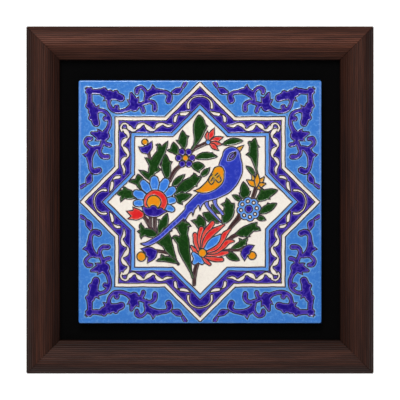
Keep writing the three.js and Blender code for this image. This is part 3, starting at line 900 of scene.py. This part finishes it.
lines = []
for index, (_, outlines) in enumerate(layers):
    later = [outline for _, others in layers[index + 1 :] for outline in others]
    for outline in outlines:
        lines += visible_stretches(outline, True, outlines, later)
for index, places in loose_lines:
    later = [outline for _, others in layers[index:] for outline in others]
    lines += visible_stretches(places, False, [], later)
lines = [thinned(line) for line in lines]
lines = [line for line in lines if len(line) > 1]
line_length = sum(np.linalg.norm(np.diff(line, axis=0), axis=1).sum() for line in lines)
print("visible lines:", len(lines), "with", round(line_length / 1000, 1), "m in all")

# %% [markdown]
# ## The tile's relief
# The face is one mesh whose edges follow both feet and the crest of every line, so that a ridge one
# millimetre wide stays crisp. Blender's own constrained triangulation fills in between, over a loose lattice
# of points. A ridge is highest on its crest. The glaze climbs a little against it and swells very slightly
# in mid pool.
# %% Set out the points of the relief
HALF_LINE = LINE_WIDTH / 2
LIP = 0.1
DOME = 0.09
LIP_REACH = 0.25
DOME_REACH = 2.5
EDGE_FADE = 0.8
LATTICE = 1.45
LATTICE_FROM_LINE = HALF_LINE + 1.1
RING_FROM_LINE = HALF_LINE + 0.5
RING_CLEARANCE = HALF_LINE + 0.38
FOOT_CLEARANCE = 0.9 * HALF_LINE
LINE_FROM_EDGE = 0.15
RING_FROM_EDGE = 0.5
LATTICE_FROM_EDGE = 0.7
LINE_COLOUR_REACH = 0.98 * HALF_LINE
CORNER_STEPS = 7
FACE_REACH = tile_side / 2 - EDGE_ROUND - CORNER_RADIUS


def outward(places):
    """At each place, the direction straight out to the tile's edge, and how far it has gone that way.

    The distance starts at the square that joins the centres of the round corners.
    """
    beyond = places - np.clip(places, -FACE_REACH, FACE_REACH)
    length = np.linalg.norm(beyond, axis=1)
    return beyond / np.maximum(length, TINY)[:, None], length


def face_edge():
    """The edge of the flat face: a square with round corners."""
    outline = []
    for k in range(4):
        turn = math.pi / 4 + k * math.pi / 2
        centre = FACE_REACH * math.sqrt(2) * np.array([math.cos(turn), math.sin(turn)])
        angles = np.linspace(turn - math.pi / 4, turn + math.pi / 4, CORNER_STEPS)
        outline += [centre + CORNER_RADIUS * np.array([math.cos(a), math.sin(a)]) for a in angles]
    return edged(np.array(outline))


def dense(line, step=0.25):
    """Places along a line, close enough to measure distances from."""
    parts = [line[:1]]
    for start, end in zip(line, line[1:]):
        count = max(1, math.ceil(np.linalg.norm(end - start) / step))
        parts.append(start + (end - start) * np.linspace(0, 1, count + 1)[1:, None])
    return np.vstack(parts)


def tree_of(places):
    tree = KDTree(len(places))
    for index, (x, z) in enumerate(places):
        tree.insert((x, z, 0), index)
    tree.balance()
    return tree


line_tree = tree_of(np.vstack([dense(line) for line in lines]))


def from_line(places):
    """Each place's distance to the nearest line's crest."""
    return np.array([line_tree.find((x, z, 0))[2] for x, z in places])


points, edges = [], []


def add_chain(places, keep, closed):
    """Adds those places that are kept, and joins neighbours that both are."""
    numbers = np.full(len(places), -1)
    numbers[keep] = np.arange(len(points), len(points) + keep.sum())
    points.extend(places[keep])
    following = np.roll(numbers, -1)
    pairs = zip(numbers, following) if closed else zip(numbers[:-1], following[:-1])
    edges.extend((int(a), int(b)) for a, b in pairs if a >= 0 and b >= 0 and a != b)


rim = face_edge()
add_chain(rim, np.ones(len(rim), bool), True)
for line in lines:
    closed = bool(np.allclose(line[0], line[-1]))
    crest = line[:-1] if closed else line
    across = sideways(crest, closed)
    for offset, least in ((0, -1), (HALF_LINE, FOOT_CLEARANCE), (-HALF_LINE, FOOT_CLEARANCE)):
        places = crest + offset * across
        well_in = outward(places)[1] < CORNER_RADIUS - LINE_FROM_EDGE
        add_chain(places, well_in & (from_line(places) >= least), closed)
feet = len(points)
ring_points = []
for line in lines:
    across = sideways(line, False)
    for offset in (RING_FROM_LINE, -RING_FROM_LINE):
        ring_points.append(line + offset * across)
ring_points = np.vstack(ring_points)
fits = (from_line(ring_points) > RING_CLEARANCE) & (outward(ring_points)[1] < CORNER_RADIUS - RING_FROM_EDGE)
row_step = LATTICE * math.sqrt(3) / 2
rows = np.arange(-FACE_REACH - CORNER_RADIUS, FACE_REACH + CORNER_RADIUS, row_step)
columns = rows * 2 / math.sqrt(3)
lattice = []
for number, z in enumerate(rows):
    lattice.append(np.column_stack([columns + number % 2 * LATTICE / 2, np.full(len(rows), z)]))
lattice = np.vstack(lattice)
roomy = (from_line(lattice) > LATTICE_FROM_LINE) & (outward(lattice)[1] < CORNER_RADIUS - LATTICE_FROM_EDGE)
points.extend(ring_points[fits])
points.extend(lattice[roomy])
print("points:", len(points), "of which on lines:", feet, "edges:", len(edges))

# %% Join the points and lift the lines
joined = delaunay_2d_cdt([Vector(p) for p in points], edges, [], 0, 1e-4, False)
face_places = np.array([tuple(v) for v in joined[0]])
triangles = np.array(joined[2])
distances = from_line(face_places)
edge_room = CORNER_RADIUS - outward(face_places)[1]


def relief(distance):
    """The height over the glaze's level at a distance from a line."""
    ridge = LIP + (LINE_HEIGHT - LIP) * np.cos(np.clip(distance / HALF_LINE, 0, 1) * math.pi / 2)
    away = np.maximum(distance - HALF_LINE, 0)
    pool = LIP * np.exp(-away / LIP_REACH) + DOME * (1 - np.exp(-away / DOME_REACH))
    return np.where(distance < HALF_LINE, ridge, pool)


heights = relief(distances) * np.clip(edge_room / EDGE_FADE, 0, 1)
middles = face_places[triangles].mean(axis=1)
face_glaze = np.zeros(len(triangles), int)
glaze_names = list(glazes)
glaze_number = {name: k for k, name in enumerate(glaze_names)}
face_glaze[:] = glaze_number["sky"]
for glaze, outlines in layers:
    face_glaze[covered(middles, outlines)] = glaze_number[glaze]
on_line = from_line(middles) < LINE_COLOUR_REACH
face_glaze[on_line & (face_glaze != glaze_number["stem"])] = glaze_number["line"]
print("triangles on the face:", len(triangles), "highest:", round(float(heights.max()), 2), "mm")

# %% [markdown]
# ## Edges, sides and back
# From the edge of the face the mesh rolls over in a quarter round and runs down the sides, where the glaze
# stops in a thin run and bare clay follows, and closes with a flat back. The tile also gets a map of its own
# that gives the face nearly all.
# %% Close the tile
ROUND_STEPS = 4
GLAZE_RUN = 2.2
GLAZE_END = 0.25
BARE_INSET = 0.06
BACK_EASE = 0.5
RIM_FROM_LINE = HALF_LINE + 1.0
MAP_START = 0.01
MAP_FACE = 0.93
MAP_BACK_START = 0.955
MAP_BACK = 0.035
MAP_RINGS_START = 0.946
MAP_RING = 0.0065
MAP_STRIP_END = 0.945
clay_colours = srgb(196, 150, 118), srgb(222, 186, 152)
clay, _, _ = clouded_material("fired_clay", clay_colours, (260.0, 5.0, 0.7), (1800.0,), 0.4, 0.0002, 0.9)


def ring_profile():
    """How far out and how deep each ring of the tile's edge lies, in millimetres, and its material."""
    glaze, bare = glaze_number["sky"], len(glaze_names)
    for k in range(1, ROUND_STEPS + 1):
        angle = k / ROUND_STEPS * math.pi / 2
        yield EDGE_ROUND * math.sin(angle), EDGE_ROUND * (1 - math.cos(angle)), glaze
    yield EDGE_ROUND, GLAZE_RUN, glaze
    yield EDGE_ROUND - BARE_INSET, GLAZE_RUN + GLAZE_END, glaze
    yield EDGE_ROUND - BARE_INSET, tile_depth - BACK_EASE, bare
    yield EDGE_ROUND - BARE_INSET - BACK_EASE, tile_depth, bare


def build_tile():
    mesh = bpy.data.meshes.new("ceramic_tile_glazed")
    for name in glaze_names:
        mesh.materials.append(glazes[name])
    mesh.materials.append(clay)
    work = bmesh.new()
    far = work.verts.layers.float.new("line_distance")
    drawn = work.loops.layers.uv.new("OFBake")
    corners = []
    for (x, z), height, distance in zip(face_places, heights, distances):
        vertex = work.verts.new((x, -height, z))
        vertex[far] = distance
        corners.append(vertex)
    for (a, b, c), glaze in zip(triangles.tolist(), face_glaze.tolist()):
        face = work.faces.new((corners[a], corners[b], corners[c]))
        face.material_index = glaze
    out_before = 0.0
    edge = [e for e in work.edges if e.is_boundary]
    for ring, (out, depth, material) in enumerate(ring_profile()):
        made = bmesh.ops.extrude_edge_only(work, edges=edge)["geom"]
        vertices = [g for g in made if isinstance(g, bmesh.types.BMVert)]
        for vertex in vertices:
            way = outward(np.array([[vertex.co.x, vertex.co.z]]))[0][0] * (out - out_before)
            vertex.co = (vertex.co.x + way[0], depth, vertex.co.z + way[1])
            vertex[far] = RIM_FROM_LINE
        for face in (g for g in made if isinstance(g, bmesh.types.BMFace)):
            face.material_index = material
            lay_ring(face, drawn, ring)
        edge = [g for g in made if isinstance(g, bmesh.types.BMEdge) and g.is_boundary]
        out_before = out
    back = bmesh.ops.contextual_create(work, geom=edge)["faces"]
    for face in back:
        face.material_index = len(glaze_names)
    bmesh.ops.recalc_face_normals(work, faces=work.faces)
    for face in work.faces:
        face.smooth = face not in back
        if len(face.verts) == 3 or face in back:
            lay_flat(face, drawn, face in back)
    bmesh.ops.scale(work, vec=(MM, MM, MM), verts=work.verts)
    place = (tile_centre.x, tile_front, tile_centre.z)
    bmesh.ops.translate(work, vec=place, verts=work.verts)
    work.to_mesh(mesh)
    work.free()
    return mesh


def lay_flat(face, drawn, back):
    """The face of the tile takes nearly all of the map, and its back a small corner."""
    share, corner = (MAP_BACK, MAP_BACK_START) if back else (MAP_FACE, MAP_START)
    for loop in face.loops:
        x, _, z = loop.vert.co
        loop[drawn].uv = [corner + share * (value / tile_side + 0.5) for value in (x, z)]


def lay_ring(face, drawn, ring):
    """A ring of the edge, unrolled along the map's side, a strip for each."""
    centre = face.calc_center_median()
    middle = math.atan2(centre.z, centre.x)
    for loop in face.loops:
        angle = math.atan2(loop.vert.co.z, loop.vert.co.x)
        turn = middle + (angle - middle + math.pi) % (2 * math.pi) - math.pi
        outer = abs(loop.vert.co.y - centre.y) > TINY and loop.vert.co.y > centre.y
        along = min(max(MAP_START + MAP_FACE * (turn / (2 * math.pi) + 0.5), 0.0), MAP_STRIP_END)
        loop[drawn].uv = (MAP_RINGS_START + MAP_RING * (ring + outer), along)


tile = bpy.data.objects.new("glazed_tile", build_tile())
bpy.context.scene.collection.objects.link(tile)
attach(tile, "root")
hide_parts("ceramic_tile")
print("tile:", len(tile.data.vertices), "vertices,", len(tile.data.polygons), "faces")

# %% [markdown]
# ## The reeded frame
# The moulding is a planed length of hardwood, stained dark, with sixteen fine reeds over a dome that is
# highest a little outside its middle. Light and shade are painted into the wood's colour: a painted highlight
# near the crown, painted shade towards both edges, and the top rail painted lighter than the others, as if it
# caught more light. The rails are made again with rounder reeds than the solid ones. Their section is swept
# along one rail with its ends cut at 45 degrees, and turned for the other three.
# %% Group for reeded wood
RAIL_WIDTH = 27.35
CROWN_FROM_OUTSIDE = 11.5
SHOULDER_DEPTH = 15.0
CROWN_DEPTH = 24.0
LIP_DEPTH = 12.3
REEDS = 16
REED_HEIGHT = 0.32
REED_STEPS = 8
BACK_CHAMFER = 0.8
RABBET_WIDTH = 6.5
RABBET_DEPTH = 8.8
MITRE_GAP = 0.3
TONGUE_INSET = 0.7
TONGUE_LENGTH = MITRE_GAP / math.sqrt(2) + 0.01
# Painted light on the rails: the colour is lightest near the crown, painted darker towards both edges, and
# painted lighter on the top rail.
PAINTED_HIGHLIGHT_FROM_OUTSIDE = 1.15 * CROWN_FROM_OUTSIDE
PAINTED_HIGHLIGHT_REACH = 0.52 * RAIL_WIDTH
CROWN_PAINTED_HIGHLIGHT = 1.2
EDGE_PAINTED_SHADE = 0.6
TOP_RAIL_PAINTED_LIGHT = 1.85
SHARP_ANGLE = math.radians(38)


def wood_group():
    """Stained wood whose grain runs along each rail, with painted highlights on the reeds' crests and near
    the crown, painted shade between the reeds and towards both edges, and the top rail painted lighter.
    """
    inputs = [
        ("Dark Colour", "Color", (0, 0, 0, 1)),
        ("Light Colour", "Color", (1, 1, 1, 1)),
        ("Half Side", "Float", 0.143),
        ("Middle Height", "Float", 0.0),
        ("Reed Pitch", "Float", 0.0017),
        ("Crown Inwards", "Float", 0.012),
        ("Crown Reach", "Float", 0.015),
        ("Top Painted Light", "Float", 1.0),
    ]
    outputs = [("Colour", "Color"), ("Roughness", "Float"), ("Height", "Float")]
    group, given, made = open_group("Reeded wood", inputs, outputs)
    calc, place = partial(math_node, group), object_place(group)
    split = add_node(group, "SeparateXYZ", {"Vector": place}).outputs
    height = calc("SUBTRACT", split["Z"], given["Middle Height"])
    wide = calc("ABSOLUTE", split["X"])
    tall = calc("ABSOLUTE", height)
    upright = calc("GREATER_THAN", wide, tall)
    inwards = calc("SUBTRACT", given["Half Side"], calc("MAXIMUM", wide, tall))
    difference = calc("SUBTRACT", height, split["X"])
    along = calc("ADD", split["X"], calc("MULTIPLY", upright, difference))
    sum_side = calc("SIGN", calc("ADD", split["X"], height))
    rail = calc("ADD", calc("MULTIPLY", upright, 3.0), sum_side)

    def fibres(stretch, *look):
        """Noise that is drawn out along each rail and differs from rail to rail."""
        drawn_out = calc("ADD", calc("MULTIPLY", along, stretch), rail)
        fibre_place = add_node(group, "CombineXYZ", {"X": drawn_out, "Y": split["Y"], "Z": inwards})
        return noise(group, fibre_place.outputs[0], *look)

    grain = fibres(0.045, 480.0, 5.0, 0.65)
    pores = fibres(0.02, 2600.0, 3.0, 0.6)
    broad = noise(group, place, 26.0, 2.0)
    phase = calc("FRACT", calc("DIVIDE", inwards, given["Reed Pitch"]))
    crest = calc("SINE", calc("MULTIPLY", phase, math.pi))
    # A painted highlight on each reed's crest, with painted shade in the grooves between them.
    painted_reed_highlight = calc("MULTIPLY", ramped(group, crest, 0.15, 0.95), 0.3)
    streaks = calc("MULTIPLY", ramped(group, grain, 0.34, 0.7), 0.45)
    total = calc("ADD", painted_reed_highlight, calc("MULTIPLY", streaks, calc("ADD", broad, 0.55)))
    open_pores = calc("MULTIPLY", ramped(group, pores, 0.6, 0.75), 0.25)
    grain_and_reed_highlight = calc("SUBTRACT", total, open_pores, clamp=True)
    stained = mixed(group, grain_and_reed_highlight, given["Dark Colour"], given["Light Colour"])
    # Painted light and shade: the top rail's colour is painted lighter, lightest near the crown and shaded
    # towards both edges.
    on_top = calc("GREATER_THAN", height, wide)
    top_painted_light = calc("MULTIPLY_ADD", on_top, calc("SUBTRACT", given["Top Painted Light"], 1.0), 1.0)
    off_crown = calc("ABSOLUTE", calc("SUBTRACT", inwards, given["Crown Inwards"]))
    edge_shade_share = ramped(group, calc("DIVIDE", off_crown, given["Crown Reach"]), 0.0, 1.0)
    dome_painted_light = calc("SUBTRACT", CROWN_PAINTED_HIGHLIGHT, calc("MULTIPLY", edge_shade_share, EDGE_PAINTED_SHADE))
    shaded = calc("MULTIPLY", top_painted_light, dome_painted_light)
    toned = add_node(group, "HueSaturation", {"Value": shaded, "Color": stained}).outputs["Color"]
    group.links.new(toned, made["Colour"])
    group.links.new(calc("MULTIPLY_ADD", grain_and_reed_highlight, -0.16, 0.58), made["Roughness"])
    group.links.new(calc("ADD", grain, calc("MULTIPLY", pores, -0.5)), made["Height"])
    return group


wood_values = {
    "Dark Colour": srgb(26, 10, 6),
    "Light Colour": srgb(74, 39, 26),
    "Half Side": frame_side / 2,
    "Middle Height": frame_middle_z,
    "Reed Pitch": RAIL_WIDTH / REEDS * MM,
    "Top Painted Light": TOP_RAIL_PAINTED_LIGHT,
    "Crown Inwards": PAINTED_HIGHLIGHT_FROM_OUTSIDE * MM,
    "Crown Reach": PAINTED_HIGHLIGHT_REACH * MM,
}
reeded_wood = wood_group()
wood = group_material("dark_stained_wood", reeded_wood, wood_values, 0.5, 0.00015, Specular_IOR_Level=0.18)
print("wood nodes:", len(reeded_wood.nodes))


# %% Sweep the four rails
def surface_normals(section):
    """At each corner of the section, the direction out of the wood."""
    before, after = section - np.roll(section, 1, axis=0), np.roll(section, -1, axis=0) - section
    mean = before / np.linalg.norm(before, axis=1)[:, None] + after / np.linalg.norm(after, axis=1)[:, None]
    normals = np.column_stack([-mean[:, 1], mean[:, 0]])
    return normals / np.linalg.norm(normals, axis=1)[:, None]


def rail_section(inset=0.0):
    """The moulding's section: places inwards from the outer side and out from the wall.

    An inset section lies that much inside the moulding's surface all round.
    """
    section = [(BACK_CHAMFER, 0), (0, BACK_CHAMFER)]
    steps = REEDS * REED_STEPS
    for step in range(steps + 1):
        across = RAIL_WIDTH * step / steps
        if across < CROWN_FROM_OUTSIDE:
            share, foot, wave = across / CROWN_FROM_OUTSIDE, SHOULDER_DEPTH, math.sin
        else:
            share = (across - CROWN_FROM_OUTSIDE) / (RAIL_WIDTH - CROWN_FROM_OUTSIDE)
            foot, wave = LIP_DEPTH, math.cos
        dome = foot + (CROWN_DEPTH - REED_HEIGHT - foot) * wave(share * math.pi / 2)
        section.append((across, dome + REED_HEIGHT * math.sin(step % REED_STEPS / REED_STEPS * math.pi)))
    rabbet_wall = RAIL_WIDTH - RABBET_WIDTH
    section += [(RAIL_WIDTH, RABBET_DEPTH), (rabbet_wall, RABBET_DEPTH), (rabbet_wall, 0)]
    section = np.array(section)
    return section - inset * surface_normals(section) if inset else section


def rail_mesh(name, turn):
    """One rail, swept between its two mitres and turned about the frame's middle."""
    section, tongue = rail_section(), rail_section(TONGUE_INSET)
    stations = [(-1, tongue, TONGUE_LENGTH), (-1, tongue, 0)]
    stations += [(share, section, 0) for share in (-1, -0.5, 0, 0.5, 1)]
    stations += [(1, tongue, 0), (1, tongue, TONGUE_LENGTH)]
    corners, faces = [], []
    for share, outline, beyond in stations:
        for inwards, out in outline:
            z = frame_side / 2 / MM - inwards
            x = share * (z - MITRE_GAP / math.sqrt(2) + beyond)
            turned = x * math.cos(turn) + z * math.sin(turn), z * math.cos(turn) - x * math.sin(turn)
            corners.append((turned[0] * MM, -out * MM, turned[1] * MM + frame_middle_z))
    count = len(section)
    for k in range(len(stations) - 1):
        for i in range(count):
            a, b = k * count + i, k * count + (i + 1) % count
            faces.append((a, b, b + count, a + count))
    faces.append(tuple(range(count - 1, -1, -1)))
    faces.append(tuple(range((len(stations) - 1) * count, len(stations) * count)))
    mesh = bpy.data.meshes.new(name)
    mesh.from_pydata(corners, [], faces)
    mesh.materials.append(wood)
    work = bmesh.new()
    work.from_mesh(mesh)
    bmesh.ops.recalc_face_normals(work, faces=work.faces)
    for face in work.faces:
        face.smooth = True
    work.to_mesh(mesh)
    work.free()
    mesh.set_sharp_from_angle(angle=SHARP_ANGLE)
    return mesh


for k, side in enumerate(("top", "right", "bottom", "left")):
    rail = bpy.data.objects.new(f"reeded_rail_{side}", rail_mesh(f"reeded_rail_{side}", k * math.pi / 2))
    bpy.context.scene.collection.objects.link(rail)
    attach(rail, "root")
    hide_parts(f"rail_{side}")
    print(rail.name, len(rail.data.polygons), "faces")

# %% [markdown]
# ## Behind and around the tile
# The mount is hardboard, sprayed matt black on the side that shows and left brown behind. The points, the
# hanging plate and its rivets are zinc-plated steel, a little clouded.
# %% Board and steel
black_colours = (0.0004, 0.0004, 0.0004, 1), (0.0012, 0.0011, 0.0012, 1)
sprayed = (900.0, 4.0, 0.7)
black, _, _ = clouded_material(
    "matt_black_paint", black_colours, sprayed, sprayed, 0.3, 0.0001, 0.95, Specular_IOR_Level=0.06
)

hardboard, hardboard_shader = surface_material("bare_hardboard", 0.8)
fibreboard = hardboard.node_tree
board_place = object_place(fibreboard)
board_fibre = noise(fibreboard, board_place, 1500.0, 3.0, 0.7)
board_cloud = noise(fibreboard, board_place, 60.0, 6.0, 0.75)
board_brown = mixed(fibreboard, board_cloud, srgb(104, 72, 48), srgb(140, 102, 70))
board_colour = mixed(fibreboard, ramped(fibreboard, board_fibre, 0.3, 0.9), board_brown, srgb(82, 56, 38))
fibreboard.links.new(board_colour, hardboard_shader.inputs["Base Color"])
bump_into(fibreboard, hardboard_shader, board_fibre, 0.5, 0.0002)

zinc_colours = srgb(150, 152, 156), srgb(205, 207, 208)
spangle = (320.0, 4.0, 0.6)
steel, steel_shader, steel_place = clouded_material(
    "zinc_plated_steel", zinc_colours, spangle, spangle, 0.2, 0.0001, Metallic=1.0
)
steel_gloss = ramped(steel.node_tree, noise(steel.node_tree, steel_place, 1500.0, 2.0), 0.0, 2.0)
steel.node_tree.links.new(steel_gloss, steel_shader.inputs["Roughness"])

board = nodes["mount_board"]
board.data.materials.clear()
board.data.materials.append(black)
board.data.materials.append(hardboard)
for face in board.data.polygons:
    face.material_index = 0 if face.normal.y < -0.9 else 1
for name, node in nodes.items():
    if name.startswith(("board_point", "sawtooth", "hanger_rivet")):
        node.data.materials.clear()
        node.data.materials.append(steel)
print("board faces:", len(board.data.polygons))

# %% [markdown]
# ## Floor, backdrop, light and camera
# The frame hangs free in a pale studio, with the floor well below it and a curved backdrop far behind, so
# that it can be looked at from all sides. The photograph is taken square on from some way off: a long lens
# fits the frame into 347 of the picture's 400 pixels. A broad soft light from above shapes the rails, two
# weak ones fill in from the sides, and a low one in front picks out the lines in the lower fields.
# %% Stage
FLOOR_DROP = 0.75
BACKDROP_DISTANCE = 2.4
BEND_STEPS = 16
BEND_RADIUS = 0.8
PAPER_HALF_WIDTH = 5.0
PAPER_REACH = 4.0
FRAME_PIXELS = 347.4
PICTURE_PIXELS = 400.0
CAMERA_DISTANCE = 1.3

pale, pale_shader = surface_material("pale_studio_paper", 0.9)
pale_shader.inputs["Base Color"].default_value = (0.86, 0.86, 0.86, 1)
pale_shader.inputs["Emission Color"].default_value = (1, 1, 1, 1)
paper_place = object_place(pale.node_tree)
paper_depth = add_node(pale.node_tree, "SeparateXYZ", {"Vector": paper_place}).outputs["Y"]
# The paper is given a painted glow: faint on the floor near the frame, full on the wall behind it.
paper_glow = ramped(pale.node_tree, paper_depth, 0.6, 1.6)
glow_colour = mixed(pale.node_tree, paper_glow, (0.1, 0.1, 0.1, 1), (1, 1, 1, 1))
pale.node_tree.links.new(glow_colour, pale_shader.inputs["Emission Color"])
pale_shader.inputs["Emission Strength"].default_value = 0.9


def backdrop_mesh():
    """A floor that curves up into a wall, as one sheet of paper does."""
    floor = frame_middle_z - FLOOR_DROP
    profile = [(-PAPER_REACH, floor), (BACKDROP_DISTANCE - BEND_RADIUS, floor)]
    for k in range(1, BEND_STEPS + 1):
        angle = k / BEND_STEPS * math.pi / 2
        y = BACKDROP_DISTANCE - BEND_RADIUS + BEND_RADIUS * math.sin(angle)
        profile.append((y, floor + BEND_RADIUS * (1 - math.cos(angle))))
    profile.append((BACKDROP_DISTANCE, floor + PAPER_REACH))
    corners = [(x, y, z) for x in (-PAPER_HALF_WIDTH, PAPER_HALF_WIDTH) for y, z in profile]
    count = len(profile)
    faces = [(k, k + count, k + count + 1, k + 1) for k in range(count - 1)]
    mesh = bpy.data.meshes.new("studio_paper")
    mesh.from_pydata(corners, [], faces)
    mesh.materials.append(pale)
    for face in mesh.polygons:
        face.use_smooth = True
    return mesh


paper = bpy.data.objects.new("studio_paper", backdrop_mesh())
bpy.context.scene.collection.objects.link(paper)

scene = bpy.context.scene
scene.view_settings.view_transform = "Standard"
scene.world = bpy.data.worlds.new("pale_room")
scene.world.use_nodes = True
room = scene.world.node_tree.nodes["Background"]
room.inputs["Color"].default_value = (0.9, 0.93, 1.0, 1)
room.inputs["Strength"].default_value = 0.14


def soft_light(name, place, size, watts):
    """A large square light that faces the frame."""
    lamp = bpy.data.lights.new(name, "AREA")
    lamp.size = size
    lamp.energy = watts
    light = bpy.data.objects.new(name, lamp)
    light.location = place
    aim = Vector((0, 0, frame_middle_z)) - light.location
    light.rotation_euler = aim.to_track_quat("-Z", "Y").to_euler()
    light.visible_camera = False
    scene.collection.objects.link(light)


soft_light("key_above", (-0.2, -1.1, 0.9), 0.6, 16.0)
soft_light("fill_left", (-0.8, -1.5, 0.2), 0.8, 4.2)
soft_light("fill_right", (0.8, -1.5, 0.2), 0.8, 4.2)
soft_light("low_front", (0.2, -1.1, -1.1), 0.3, 4.0)

lens = bpy.data.cameras.new("camera")
camera = bpy.data.objects.new("camera", lens)
scene.collection.objects.link(camera)
seen_width = frame_side * PICTURE_PIXELS / FRAME_PIXELS
frame_plane = -SHOULDER_DEPTH * MM
lens.lens = lens.sensor_width * CAMERA_DISTANCE / seen_width
camera.location = (0, frame_plane - CAMERA_DISTANCE, frame_middle_z)
camera.rotation_euler = (math.pi / 2, 0, 0)
scene.camera = camera
print("lens:", round(lens.lens), "mm, the picture is", round(seen_width / MM, 1), "mm wide at the frame")

# %% [markdown]
# ## The solid model's size
# The dressed model has to keep to the solid model's box, so that box is printed at the end.
# %% Sizes
print("solid box:", [round(s / MM, 2) for s in cad_box[1] - cad_box[0]])
